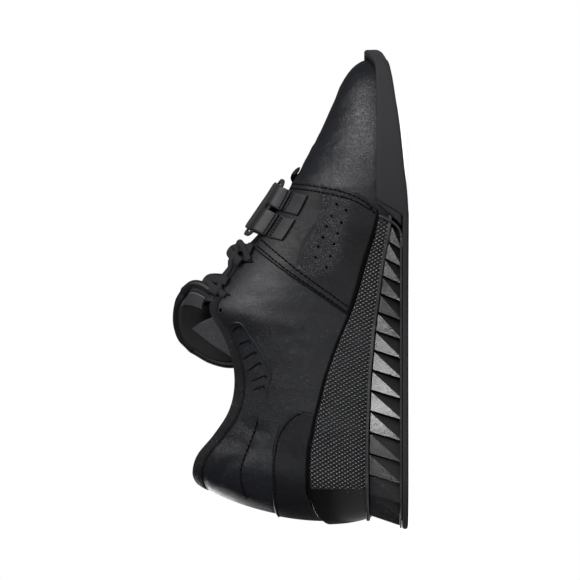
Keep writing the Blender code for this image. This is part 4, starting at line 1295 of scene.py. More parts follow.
@dataclass
class Upper(SubAssembly):
    """Vamp, quarters and heel as one leather shell with a real wall.

    The outer face is the skin, moved along its normal by the creases: each is the nearest
    distance d to a line on the skin, as depth * (swell * ring - exp(-(d / width)²)).
    """

    count: int = 210
    high: int = 74
    creases: Sequence[Crease] = CREASES

    def build(self) -> None:
        """Outer face, folded rim and inner face, welded along the ridge of the vamp."""
        u = np.linspace(-LAST.rows, LAST.rows, 2 * self.count + 1)
        v = np.concatenate([np.linspace(0, 0.97, self.high), [0.982, 0.992, 1.0]])
        outer = LAST.off(u[:, None], v[None, :], self.relief(u, v))
        inner_v = np.concatenate([[1.0, 0.992, 0.982], np.linspace(0.97, 0, 31)])
        inner = LAST.off(u[:, None], inner_v[None, :], np.full((len(u), len(inner_v)), -LAST.wall))
        open_top = np.flatnonzero(np.abs(u) < LAST.vamp_row - 1e-9)
        cut = slice(open_top[0] - 1, open_top[-1] + 2)
        edge, fold = outer[cut, -1], inner[cut, 0]
        rim, foot = np.stack([edge, (edge + fold) / 2, fold], 1), np.stack([outer[:, 0], inner[:, -1]], 1)
        made = piece("upper_leather", [Patch(rim), Patch(outer), Patch(inner), Patch(foot)], LEATHER)
        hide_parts("upper")

    def relief(self, u: Array, v: Array) -> Array:
        """Distance that the creases move the skin.

        Args:
            u: places round the foot, in one row.
            v: places up the wall, in one row.

        Returns:
            One distance for each point of the grid.
        """
        points = LAST.skin(u[:, None], v[None, :])
        moved = np.zeros(points.shape[:2])
        for crease in self.creases:
            for side in Side:
                places = resample(LAST.locate(side, crease.marks), 24)
                line = LAST.skin(places[:, 0], places[:, 1])
                away = np.linalg.norm(points[:, :, None] - line[None, None], axis=-1)
                nearest = away.argmin(-1)
                d = away.min(-1) / (crease.width * MM)
                along = np.sin(np.pi * (nearest + 0.5) / 24) ** 0.6
                swell = crease.swell * np.exp(-((d - 1.9) / 0.9) ** 2)
                moved += crease.depth * MM * along * (swell - np.exp(-d ** 2))
        cap = 0.8 * LAST.gap
        moved = np.where(moved > 0, cap * np.tanh(moved / cap), moved)
        return moved * (smooth(v, 0.0, 0.06) * smooth(1.0 - v, 0.0, 0.03))[None, :]


@dataclass
class Saddle(SubAssembly):
    """Overlay at the midfoot between its two slanted seams, with pinholes and an embossed line."""

    side: Side
    rows: int = 90
    cols: int = 80
    thick: float = 0.0013
    emboss: tuple = ((216.9, 51.5), (198, 47), (184.5, 56), (175.4, 61.5), (165.8, 64))
    holes: tuple = ((201, 41.3), (194.6, 44.3), (188.2, 47.2), (182.4, 49.6), (176.6, 52.2), (170.2, 54.3),
                    (197.8, 36), (190.7, 38.4), (184.3, 40.7), (177.9, 43), (171.5, 45.4), (165.1, 47.8))

    @staticmethod
    def rear(share: Array) -> Array:
        """Place of the rear seam at a share of the height."""
        return 9.93 + 2.85 * share - 1.13 * share ** 2

    @staticmethod
    def fore(share: Array) -> Array:
        """Place of the front seam at a share of the height."""
        return 13.9 + 0.48 * share * (1 - share) - 0.5 * np.exp(-10.5 * share)

    def foot(self, u: Array) -> Array:
        """Share of the wall where the overlay starts, clear of the band and the side wall."""
        beside = np.abs(u) < LAST.band_front + 0.2
        band = LAST.meets(u, BAND_TOP, 0.0012)
        rim = LAST.level(Level.SIDE_TOP, np.array(0.7 * LAST.length))
        wall = LAST.height_on(u, lambda x: np.maximum(LAST.level(Level.SIDE_TOP, x), rim) + 0.0009)
        return np.where(beside, band, wall)

    def grid(self) -> tuple[Array, Array]:
        """Places round the foot and shares up the wall of the panel's points."""
        share = np.linspace(0, 1, self.cols)[None, :]
        part = np.linspace(0, 1, self.rows)[:, None]
        rear = self.rear(share)
        places = self.side.value * (rear + (self.fore(share) - rear) * part)
        line = np.linspace(9.85, 13.95, 160)
        low = np.interp(np.abs(places), line, self.foot(self.side.value * line))
        return places, low + (0.955 - low) * share

    def build(self) -> None:
        """Panel and pinholes."""
        places, up = self.grid()
        rim = grid_edge(self.rows, self.cols, np.array([0.078, 0.066]), 0.0011)
        points = LAST.skin(places, up)
        marks = resample(LAST.locate(self.side, self.emboss), 60)
        line = LAST.skin(marks[:, 0], marks[:, 1])
        away = np.linalg.norm(points[:, :, None] - line[None, None], axis=-1).min(-1)
        groove = -0.00045 * np.exp(-(away / 0.0011) ** 2) + 0.00018 * np.exp(-((away - 0.0026) / 0.0013) ** 2)
        x, z = points[..., 0] / MM, points[..., 2] / MM
        top = np.interp(x, [150, 165.8, 175.4, 184.5, 198, 217], [64, 64, 61.5, 56, 50, 51])
        low = np.interp(x, [150, 170, 200, 217], [44, 38, 31, 27])
        pebbled = smooth(top - z, 0.2, 1.6) * smooth(z - low, -1.0, 6.0) * smooth(x, 156, 166)
        thick = 0.0001 + self.thick * (0.25 + 0.75 * rim) + groove * rim
        made = piece(f"saddle_panel_{self.side}", plate(places, up, thick, {"pebbled": pebbled}), OVERLAY)
        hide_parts(f"saddle_{self.side}")
        piece(f"pinholes_{self.side}", self.pinholes(), HOLE_SHADE, closed=False)

    def pinholes(self) -> list[Patch]:
        """Each pinhole is a small disc square to the skin, painted near black as the shade inside the hole; the
        strap covers three of them.
        """
        at = LAST.locate(self.side, self.holes if self.side is Side.MEDIAL else self.holes[3:])
        middles = LAST.off(at[:, 0], at[:, 1], LAST.gap + self.thick + 0.00022)
        return [Patch(disc(middle, out, (0.0, 0.35, 0.65, 0.85), (0.02, 0.04, 0.08, -0.10), 13))
                for middle, out in zip(middles, LAST.outward(at[:, 0], at[:, 1]))]


@dataclass
class HeelCounter(SubAssembly):
    """Overlay round the back of the heel above the band, with a rounded front corner."""

    reach: float = 5.7
    thick: float = 0.0009

    def build(self) -> None:
        """Panel from the band's top to its own curved top line."""
        ends = np.linspace(-self.reach, self.reach, 261)
        low = LAST.meets(ends, BAND_TOP, 0.0010)
        high = np.maximum(LAST.meets(ends, COUNTER_TOP), low + 0.03)
        share = low[:, None] + (high - low)[:, None] * np.linspace(0, 1, 40)[None, :]
        places = np.repeat(ends[:, None], 40, 1)
        rim = grid_edge(261, 40, np.array([0.24, 0.034]), 0.0009)
        thick = 0.0001 + self.thick * (0.25 + 0.75 * rim)
        made = piece("heel_counter_leather", plate(places, share, thick), COUNTER)
        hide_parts("heel_counter")


@dataclass
class Lining(SubAssembly):
    """Padded mesh lining inside the collar, from one corner of the throat round the heel."""

    reach: float = 8.41
    deep: float = 0.030
    thick: float = 0.0046

    def build(self) -> None:
        """Closed sections, smoothed, with a soft bulge towards the foot."""
        u = np.linspace(-self.reach, self.reach, 261)
        wall = LAST.skin(u, np.ones(len(u))) - LAST.skin(u, np.zeros(len(u)))
        low = 1 - self.deep / np.linalg.norm(wall, axis=1)
        near = LAST.wall + LAST.gap + 0.0003
        pad = self.thick * np.clip((8.9 - np.abs(u)) / 2.5, 0.35, 1)

        def at(share: float, distance: Union[float, Array], lift: float = 0.0) -> Array:
            """Row of points at a share of the lining's height."""
            points = LAST.off(u, low + (1 - low) * share, -distance + 0 * u)
            points[:, 2] += lift
            return points

        sections = np.stack([
            at(0, near), at(0.3, near), at(0.6, near), at(1, near), at(1, near + 0.0004, 0.0013),
            at(1, near + 0.45 * pad, 0.0021), at(1, near + 0.8 * pad, 0.0010), at(0.9, near + pad),
            at(0.7, near + 1.05 * pad), at(0.45, near + pad), at(0.15, near + 0.55 * pad),
            at(0, near + 0.0012)])
        sections = resample(sections, 44, closed=True).transpose(1, 0, 2)
        made = piece("collar_lining_mesh", wrapped(sections), MESH)
        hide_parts("collar_lining")


@dataclass
class Insole(SubAssembly):
    """Foot bed on the seat, slightly dished."""

    thick: float = 0.0042
    dish: float = 0.0009

    def build(self) -> None:
        """Loops round the edge, and a dished face across the foot."""
        u = np.linspace(-LAST.rows, LAST.rows, 361)
        inner = LAST.margin(u) + LAST.wall + 0.0012

        def loop(extra: float, lift: float) -> Array:
            """Loop inside the upper's wall at a lift over the seat."""
            xy = LAST.inset(u, inner + extra)
            return np.concatenate([xy, (LAST.level(Level.SEAT, xy[:, 0]) + lift)[:, None]], -1)

        loops = np.stack([loop(0.0008, LAST.gap), loop(0.0, LAST.gap + 0.0008), loop(0.0, self.thick - 0.0012),
                          loop(0.0005, self.thick - 0.0004), loop(0.0016, self.thick)], 1)
        under, over = across_foot(loops[:, 0], 36), across_foot(loops[:, -1], 36)
        fade = smooth(np.arange(len(over))[::-1], 0, 30)
        over[..., 2] -= self.dish * fade[:, None] * np.sin(np.pi * np.linspace(0, 1, 36))
        made = piece("insole_bed", [Patch(loops), Patch(under), Patch(over)], INSOLE)
        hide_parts("insole")


@dataclass
class Tongue(SubAssembly):
    """Padded tongue: under the throat, then a free hood with a thick rolled rim.

    The hood has slipped to the lateral side, so that its hollow faces the medial side. It is a
    patch between four curves: the last row under the throat, its two edges and its tip. Marks
    are millimetres from the heel, to the lateral side and up.
    """

    medial: tuple = ((146.5, -22.8, 117.5), (151.0, -21.5, 122.0), (154.5, -19.5, 128.0), (155.0, -16.5, 135.0),
                     (151.0, -12.5, 141.5))
    lateral: tuple = ((124.5, 21.0, 106.0), (105.0, 19.0, 105.0), (101.0, 17.8, 117.0), (104.0, 16.7, 131.0),
                      (111.0, 14.8, 142.5))
    tip: tuple = ((150.5, -12.5, 141.5), (145.0, -5.0, 147.2), (136.0, 2.0, 151.2), (127.0, 7.5, 152.2),
                  (118.0, 11.7, 149.6), (111.0, 14.8, 142.5))
    thick: float = 0.0048
    cols: int = 61
    hood_rows: int = 50
    belly: float = 0.0060
    rim_radius: float = 0.0026

    def grid(self) -> Array:
        """Outer face, rows from the root to the tip."""
        c = np.linspace(-1, 1, self.cols)
        ribs = np.linspace(15.7, 9.5, 70)[:, None]
        gap = LAST.half_gap(ribs)
        way = c[None, :] * (gap + 0.0085)
        rows = LAST.across(ribs, way, np.full(way.shape, -(LAST.wall + LAST.gap + 0.0010)))
        inside = np.clip(1 - (way / np.maximum(gap, 1e-4)) ** 2, 0, 1) ** 1.5
        puff = 0.0040 * np.clip((12.6 - ribs) / 1.4, 0, 1) * inside
        rows = rows + np.array([0.6, 0.0, 0.8]) * puff[..., None]
        start = rows[-1]
        count = self.hood_rows
        medial, lateral = (resample(np.concatenate([end[None], np.array(marks) * MM]), count)[1:, None]
                           for end, marks in ((start[0], self.medial), (start[-1], self.lateral)))
        tip = resample(np.array(self.tip) * MM, self.cols)
        f = np.linspace(0, 1, count)[1:, None, None]
        s = np.linspace(0, 1, self.cols)[None, :, None]
        hood = (1 - s) * medial + s * lateral + (1 - f) * start + f * tip
        hood -= (1 - f) * ((1 - s) * start[0] + s * start[-1]) + f * ((1 - s) * tip[0] + s * tip[-1])
        bulge = 4 * f * (1 - f) * (1 - (2 * s - 1) ** 2) * self.belly
        return np.concatenate([rows, hood + bulge * np.array([0.35, 0.85, 0.20])])

    def build(self) -> None:
        """Outer skin, the lining inside it, the label, the flecked gusset and the rolled rim."""
        grid = self.grid()
        c = np.linspace(-1, 1, self.cols)
        normal = slopes_out(grid)
        k = np.linspace(0, 1, len(grid))
        sides = 0.25 + 0.75 * np.sqrt(np.clip(1 - c ** 4, 0, 1))
        ends = np.clip(0.35 + k * 2.2, 0, 1) * np.where(k > 0.93, 1 - 0.4 * (k - 0.93) / 0.07, 1.0)
        thick = self.thick * sides[None, :] * ends[:, None]
        inner = grid - normal * thick[..., None]
        made = piece("tongue_padded", shell(grid, inner), TONGUE)
        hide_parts("tongue")
        first = len(grid) - self.hood_rows
        self.sheet("tongue_lining", inner[first:-1, 2:-2], normal[first:-1, 2:-2], 0.0004, MESH)
        self.sheet("tongue_label", inner[-32:-6, 5:17], normal[-32:-6, 5:17], 0.0009, LABEL)
        self.rim(grid - normal * (thick * 0.5)[..., None])
        self.gusset()

    def sheet(self, name: str, face: Array, normal: Array, out: float, finish: Finish) -> None:
        """Thin closed sheet on the hollow side of the hood.

        Args:
            name: name of the piece.
            face: points of the hollow side.
            normal: directions out of the other side.
            out: height of its face.
            finish: what it is made of.
        """
        piece(name, shell(face - normal * out, face + normal * 0.0002), finish)

    def rim(self, middle: Array) -> None:
        """Rolled rim: a soft tube round the free edge of the hood."""
        first = len(middle) - self.hood_rows + 6
        path = np.concatenate([middle[first:, 0], middle[-1, 1:-1], middle[first:, -1][::-1]])
        path = evenly(path, 240)
        ends = np.clip(np.minimum(np.arange(240), np.arange(240)[::-1]) / 16, 0.25, 1)
        made = piece("tongue_rim", tube(path, self.rim_radius * ends, 14, up=unit(path - path.mean(0))), TONGUE)

    def gusset(self) -> None:
        """Flecked woven corner that stands up inside the medial side of the collar."""
        marks = np.array([[(126.7, -8.0, 137.0), (131.5, -15.0, 128.0), (136.0, -20.0, 116.0)],
                          [(126.0, -8.0, 136.0), (123.0, -14.0, 124.0), (126.0, -19.5, 110.0)],
                          [(125.3, -8.0, 135.0), (114.5, -13.5, 119.0), (106.0, -18.5, 104.0)]]) * MM
        face = resample(resample(marks, 14).transpose(1, 0, 2), 18).transpose(1, 0, 2)
        self.sheet("tongue_gusset", face, slopes_out(face), 0.0010, FLECKED)


def over_instep(s: Array, w: Value, out: Value) -> tuple[Array, Array]:
    """Points over the instep, and the direction out at each."""
    path = LAST.across(s, w, out)
    return path, unit(LAST.across(s, w, out + MM) - path)


@dataclass
class StrapSet(SubAssembly):
    """Instep strap, its rectangular ring and the two webbing tabs that hold the ring.

    A ribbon's middle line is a row of points (way across the instep, distance out), and its
    width runs along the ribs between two places. The section is a flat loop with round sides.
    """

    ring_ribs: tuple[float, float] = (11.92, 13.72)
    ring_ways: tuple[float, float] = (-0.0062, -0.0168)
    ring_out: float = 0.0050
    ring_bar: float = 0.0032
    ring_thick: float = 0.0018
    strap_thick: float = 0.0015
    tab_thick: float = 0.0012
    free: float = 0.0019

    def ribbon(self, s_from: float, s_to: float, path: Sequence, thick: float,
               along: int = 110, over: int = 28) -> Array:
        """Sections of a ribbon.

        Args:
            s_from: rib at one side.
            s_to: rib at the other.
            path: points (way across, distance).
            thick: thickness.
            along: points along the path.
            over: points across the width.

        Returns:
            One closed loop of points for each step along the path.
        """
        line = resample(np.array(path), along)
        tangent = unit(np.gradient(line, axis=0))
        normal = np.stack([-tangent[:, 1], tangent[:, 0]], 1)
        share = np.linspace(0, 1, over)
        s = s_from + (s_to - s_from) * (0.5 - 0.5 * np.cos(np.pi * share))
        round_side = np.sqrt(np.clip(1 - (2 * np.abs(0.5 - (s - s_from) / (s_to - s_from))) ** 14, 0.02, 1))
        faces = []
        for sign in (1, -1):
            shifted = line[:, None] + normal[:, None] * (sign * thick / 2) * round_side[None, :, None]
            faces.append(LAST.across(s[None, :], shifted[..., 0], shifted[..., 1]))
        return np.concatenate([faces[0], faces[1][:, ::-1]], axis=1)

    def folded(self, way: float, turn: float, thick: float, lower: float, tail: list) -> list:
        """Points of a fold round a bar of the ring: lower layer, turn, then upper layer."""
        out = turn * (self.ring_bar / 2 + thick / 2 + 0.0006)
        rise = self.ring_thick / 2 + thick / 2 + 0.0004
        return [(way - out * 0.9, lower), (way + 0.55 * out, lower + 0.0001),
                (way + out, self.ring_out - 0.45 * rise), (way + out * 1.12, self.ring_out),
                (way + out, self.ring_out + 0.5 * rise), (way + 0.5 * out, self.ring_out + rise),
                (way - 0.9 * out, self.ring_out + rise)] + tail

    def build(self) -> None:
        """Strap, tabs and ring."""
        lower = self.free + self.strap_thick / 2
        lateral = [(w, lower) for w in (0.070, 0.060, 0.050, 0.040, 0.032, 0.024, 0.017, 0.011, 0.006, 0.001)]
        tail = [(0.002, self.ring_out + 0.0010), (0.009, self.ring_out + 0.0002), (0.017, 0.0046),
                (0.025, 0.0046), (0.033, 0.0046)]
        path = lateral + self.folded(self.ring_ways[0], -1, self.strap_thick, lower, tail)
        made = piece("instep_strap", wrapped(self.ribbon(self.ring_ribs[0] + 0.12, self.ring_ribs[1] - 0.12,
                                                         path, self.strap_thick, 190)), STRAP)
        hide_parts("strap")
        for name, s_from, s_to in (("front", 12.86, 13.56), ("rear", 12.06, 12.74)):
            made = piece(f"webbing_tab_{name}_folded", wrapped(self.tab(s_from, s_to)), TAB)
            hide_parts(f"webbing_tab_{name}")
            self.tab_stitches(name, s_from, s_to)
        made = piece("ring", self.ring(), RING)
        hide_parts("strap_ring")

    def tab(self, s_from: float, s_to: float) -> Array:
        """Sections of a tab that folds round the lower bar of the ring."""
        lower = self.free + self.tab_thick / 2
        rise = lower + self.tab_thick + 0.0005
        flat = [(w, lower) for w in (-0.043, -0.037, -0.031, -0.025, -0.0205)]
        tail = [(-0.0225, self.ring_out + 0.0002), (-0.0260, rise), (-0.0290, rise)]
        return self.ribbon(s_from, s_to, flat + self.folded(self.ring_ways[1], 1, self.tab_thick, lower, tail),
                           self.tab_thick)

    def tab_stitches(self, name: str, s_from: float, s_to: float) -> None:
        """Dark stitched rows across a tab: one on the folded part, one or two beside its end."""
        s = np.linspace(s_from + 0.04, s_to - 0.04, 60)
        rise = self.free + 2 * self.tab_thick + 0.0007
        rows = [(-0.0272, rise)] + [(-0.0312 - 0.0016 * k, self.free + self.tab_thick + 0.0001)
                                    for k in range(2 if name == "rear" else 1)]
        patches = []
        for way, out in rows:
            seam = Stitching(pitch=0.0020, length=0.0014, radius=0.00034)
            patches += seam.stitches(*over_instep(s, way, out))
        piece(f"tab_stitches_{name}", patches, THREAD_AND_GROOVE_SHADE)

    def ring(self) -> list[Patch]:
        """Rounded rectangle of a flat oval bar, over the instep."""
        s0, s1 = self.ring_ribs
        w0, w1 = self.ring_ways
        turn = np.linspace(0, 2 * np.pi, 160, endpoint=False)
        s = (s0 + s1) / 2 + (s1 - s0) / 2 * blunt(np.cos(turn), 0.32)
        w = (w0 + w1) / 2 + (w0 - w1) / 2 * blunt(np.sin(turn), 0.42)
        path, up = over_instep(s, w, self.ring_out)
        along = unit(np.roll(path, -1, 0) - np.roll(path, 1, 0))
        over = unit(np.cross(along, up))
        section = np.linspace(0, 2 * np.pi, 14, endpoint=False)
        wide = blunt(np.cos(section), 0.7) * self.ring_bar / 2
        tall = blunt(np.sin(section), 0.7) * self.ring_thick / 2
        ring = path[:, None] + over[:, None] * wide[None, :, None] + up[:, None] * tall[None, :, None]
        ring = np.concatenate([ring, ring[:1]], 0)
        return wrapped(ring, ends=False)


@dataclass
class Lacing(SubAssembly):
    """Flat braided laces: one in front of the strap and crossings behind it.

    The marks of the free lace are place of the rib, way in from the edge of the throat and
    distance out, the last two in millimetres.
    """

    rows: tuple = ((14.50, 14.05), (11.62, 11.15), (10.45, 9.95))
    width: float = 0.0058
    thick: float = 0.0022
    free: tuple = ((11.30, -7.0, 0.6), (11.42, -3.0, 2.0), (11.58, 2.5, 5.0), (11.60, 5.5, 6.4), (11.42, 5.0, 4.2),
                   (11.24, 3.0, 4.4), (11.08, 2.0, 5.2), (10.92, 1.0, 3.6), (10.72, 1.0, 2.4), (10.50, 1.0, 2.2),
                   (10.28, 0.6, 2.2), (10.08, -1.5, 1.8), (9.95, -5.0, 1.2), (9.90, -9.0, 0.4))
    loops: tuple = ((11.30, 11.0), (9.98, 12.0))
    eyelet: tuple = (9.09, 0.914)

    def bar(self, s_from: float, s_to: float, lift: float) -> list[Patch]:
        """Oval lace from one edge of the throat to the other, over the tongue.

        Args:
            s_from: rib at the medial end.
            s_to: rib at the lateral end.
            lift: distance of its lower face.

        Returns:
            Its patches.
        """
        t = np.linspace(-1, 1, 60)
        s = s_from + (s_to - s_from) * (t + 1) / 2
        puff = 0.0040 * np.clip((12.6 - s) / 1.4, 0, 1) * np.clip(1 - t * t, 0, 1)
        out = lift + self.thick / 2 + 0.0006 * (1 - t ** 4) + puff
        path, up = over_instep(s, t * (LAST.half_gap(s) + 0.0032), out)
        return tube(path, self.width / 2, 16, self.thick / self.width, up)

    def route(self, side: Side, marks: Sequence, count: int) -> tuple[Array, Array]:
        """Path over the edge of the throat.

        Args:
            side: side of the foot.
            marks: place of the rib, way in from the edge and distance out, in millimetres.
            count: points wanted.

        Returns:
            Points, and the direction out at each.
        """
        s, way, out = resample(np.array(marks, float), count).T
        return over_instep(s, side.value * (LAST.half_gap(s) - way * MM), out * MM)

    def build(self) -> None:
        """One piece for each row, then the free laces, the loops and the open eyelets."""
        for number, (s_from, s_to) in enumerate(self.rows):
            patches = self.bar(s_from, s_to, LAST.gap)
            if number:
                patches = patches + self.bar(s_to, s_from, LAST.gap + 0.0009)
            made = piece(f"lace_row_{number + 1}", patches, LACE)
            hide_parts(f"lace_crossing_{number + 1}")
        for side in Side:
            path, up = self.route(side, self.free, 120)
            piece(f"lace_free_{side}", tube(path, 0.0021, 14, 0.72, up), LACE)
            lines, straps = [], []
            for rib, depth in self.loops:
                for spread in (-0.13, 0.13):
                    marks = ((rib + spread, 1.0, 0.6), (rib + spread * 0.9, -2.0, 0.35), (rib, -depth, 0.2))
                    lines += tube(self.route(side, marks, 24)[0], 0.00042, 8, 0.6)
                path, up = self.route(side, ((rib, 2.0, 0.9), (rib, -2.0, 0.7), (rib, 1.5 - depth, 0.3)), 30)
                straps += tube(path, 0.0019 * np.linspace(1.0, 0.35, 30), 12, 0.36, up)
            # Thin dark lines in a V at each loop: painted shade along the edges of the slot that the loop comes out
            # of.
            piece(f"loop_shade_lines_{side}", lines, HOLE_SHADE)
            piece(f"lace_loops_{side}", straps, TAPE)
            piece(f"eyelet_{side}", self.ring_hole(side), HOLE_SHADE, RING, closed=False)

    def ring_hole(self, side: Side) -> list[Patch]:
        """Disc painted near black as the shade inside the open eyelet, with a low rolled edge, square to the skin.
        """
        place, share = np.array([side.value * self.eyelet[0]]), np.array([self.eyelet[1]])
        middle, out = LAST.off(place, share, 0.0)[0], LAST.outward(place, share)[0]
        flat = disc(middle, out, (0.0, 0.8, 1.35), (0.42, 0.42, 0.42), 29)
        rolled = disc(middle, out, (1.25, 1.35, 1.60, 1.90, 2.10), (0.30, 0.55, 0.68, 0.48, -0.05), 29)
        return [Patch(flat), Patch(rolled, finish=1)]


@dataclass
class Stitching(SubAssembly):
    """Rows of short thread stitches, each row over a thin flat line in the thread's dark colour: painted shade of a
    furrow.

    A stitch is a tube of a few points that rises out of the surface in a half sine and goes
    back in at both ends.
    """

    pitch: float = 0.0030
    length: float = 0.0021
    radius: float = 0.00055
    counter: tuple = ((10, 80), (30, 79.5), (52, 79), (64, 76.5), (73, 70), (78, 62))
    collar: tuple = ((22, 98), (40, 101), (58, 95), (74, 90))

    def stitches(self, line: Array, out: Array) -> list[Patch]:
        """Stitches at even steps of a line.

        Args:
            line: close points of the line, on the surface.
            out: direction out of the surface at each.

        Returns:
            Patches of all stitches, each a small closed tube, and the flat dark line under them, painted shade of
            the furrow.
        """
        length = lengths(line)
        starts = np.arange(0, length[-1] - self.length, self.pitch)
        t = np.linspace(0, 1, 5)
        at = starts[:, None] + t[None, :] * self.length
        path = np.stack([np.interp(at, length, line[:, k]) for k in range(3)], -1)
        up = unit(np.stack([np.interp(at, length, out[:, k]) for k in range(3)], -1))
        path = path + up * (np.sin(np.pi * t) * 0.00030 - 0.0001)[None, :, None]
        along = unit(np.gradient(path, axis=1))
        over = unit(np.cross(along, up))
        turn = np.linspace(0, 2 * np.pi, 6, endpoint=False)
        size = self.radius * np.sqrt(np.clip(1 - (2 * t - 1) ** 4, 0.12, 1))
        turn = turn[:, None]
        ring = over[:, :, None] * np.cos(turn) + up[:, :, None] * np.sin(turn)
        ring = path[:, :, None] + ring * size[:, None, None]
        closed = np.concatenate([ring, ring[:, :, :1]], axis=2)
        # The flat dark line under the stitches is painted shade of the furrow.
        return [Patch(one) for one in closed] + tube(line, self.radius * 0.55, 6, 0.35, out)

    def row(self, places: Array, distance: float) -> list[Patch]:
        """Stitches along places on the skin, at a distance out."""
        line = LAST.off(places[:, 0], places[:, 1], np.full(len(places), distance))
        return self.stitches(line, LAST.outward(places[:, 0], places[:, 1]))

    def saddle(self, side: Side) -> None:
        """Two rows inside each slanted edge of the saddle.

        Args:
            side: side of the foot.
        """
        panel = Saddle(side)
        share = np.linspace(0.02, 0.985, 120)
        line = np.linspace(9.85, 14.1, 160)
        low = panel.foot(side.value * line)
        for name, edge, steps in (("front", panel.fore(share), (-0.10, -0.27)),
                                  ("rear", panel.rear(share), (0.10, 0.29))):
            patches = []
            for step in steps:
                u = edge + step
                foot = np.interp(u, line, low)
                places = np.stack([side.value * u, foot + (0.955 - foot) * share], -1)
                patches += self.row(places, LAST.gap + panel.thick + 0.0002)
            piece(f"stitches_saddle_{name}_{side}", patches, THREAD_AND_GROOVE_SHADE)

    def build(self) -> None:
        """Rows on both sides."""
        for side in Side:
            self.saddle(side)
            for name, marks, distance in (("counter", self.counter, 0.0013), ("collar", self.collar, 0.0002)):
                places = resample(LAST.locate(side, marks), 120)
                kernel = np.ones(9) / 9
                padded = np.concatenate([np.repeat(places[:1], 4, 0), places, np.repeat(places[-1:], 4, 0)])
                places = np.stack([np.convolve(padded[:, k], kernel, "valid") for k in range(2)], -1)
                piece(f"stitches_{name}_{side}", self.row(places, distance), THREAD_AND_GROOVE_SHADE)


@dataclass
class CollarRibs(SubAssembly):
    """Embossed panel under the collar's tape, with slanted ribs that hook at the top.

    Marks are millimetres from the heel and up, as seen from the side.
    """

    outline: tuple = ((127.5, 108.0), (130.6, 105.0), (129.9, 99.8), (123.2, 94.9), (114.4, 89.0), (105.5, 83.9),
                      (101.1, 82.1), (95.5, 83.0), (90.8, 84.5), (84.9, 85.0))
    ribs: tuple = (((125.0, 106.6), (129.0, 101.7), (127.4, 100.2)), ((117.6, 102.4), (120.2, 95.8), (118.6, 94.8)),
                   ((109.0, 99.4), (113.4, 92.6), (111.8, 91.4)), ((101.6, 96.6), (107.3, 89.6), (105.8, 88.4)),
                   ((95.6, 94.8), (99.5, 86.2), (98.0, 85.4)), ((90.0, 94.0), (92.6, 87.2), (91.2, 86.4)))

    def build(self) -> None:
        """Raised outline, and the sunk ribs as thin beads in the thread's dark colour: painted shade of the
        grooves.
        """
        for side in Side:
            piece(f"collar_panel_{side}", self.line(side, self.outline, 0.00085), LEATHER)
            ribs = [patch for rib in self.ribs for patch in self.line(side, rib, 0.00055)]
            # The ribs are painted shade: dark beads where the embossed grooves lie.
            piece(f"collar_ribs_{side}", ribs, THREAD_AND_GROOVE_SHADE)

    def line(self, side: Side, marks: Sequence, radius: float) -> list[Patch]:
        """Thin bead on the skin through marks, half as high as it is wide.

        Args:
            side: side of the foot.
            marks: distance from the heel and height.
            radius: half its width.

        Returns:
            Its patches.
        """
        places = resample(LAST.locate(side, marks), 40)
        path = LAST.off(places[:, 0], places[:, 1], np.full(40, 0.0001))
        taper = np.clip(np.minimum(np.arange(40), np.arange(40)[::-1]) / 5, 0.3, 1)
        return tube(path, radius * taper, 8, 0.5, LAST.outward(places[:, 0], places[:, 1]))


@dataclass
class Binding(SubAssembly):
    """Woven tape folded over the edge of the collar.

    Its section is an upside-down U: up the outside, over the rim and down the inside.
    """

    reach: float = 9.9
    drop: float = 0.0062
    thick: float = 0.0008

    def build(self) -> None:
        """Tape from one corner of the throat round the heel to the other."""
        u = np.linspace(-self.reach, self.reach, 361)
        wall = np.linalg.norm(LAST.skin(u, np.ones(len(u))) - LAST.skin(u, np.full(len(u), 0.9)), axis=1) / 0.1
        top, up = LAST.skin(u, np.ones(len(u))), LAST.outward(u, np.ones(len(u)))
        rise = unit(top - LAST.skin(u, np.full(len(u), 0.97)))
        outer, inner = [], []
        for share in (1.0, 0.66, 0.33, 0.1):
            v = 1 - self.drop * share / wall
            outer.append(LAST.off(u, v, self.thick * (0.6 if share == 1.0 else 1.0) + 0 * u))
            inner.append(LAST.off(u, v, 0.0001 + 0 * u))
        back = -LAST.wall - 0.00005
        over = [top + up * a + rise * b for a, b in (
            (self.thick, self.thick), (back / 2, 1.3 * self.thick), (back - 0.0001, 0.9 * self.thick))]
        under = [top + up * a + rise * 0.0002 for a in (back - 0.0001, back / 2, 0.0001)]
        sections = np.stack(outer + over + under + inner[::-1], 1)
        piece("collar_binding", wrapped(sections), TAPE)


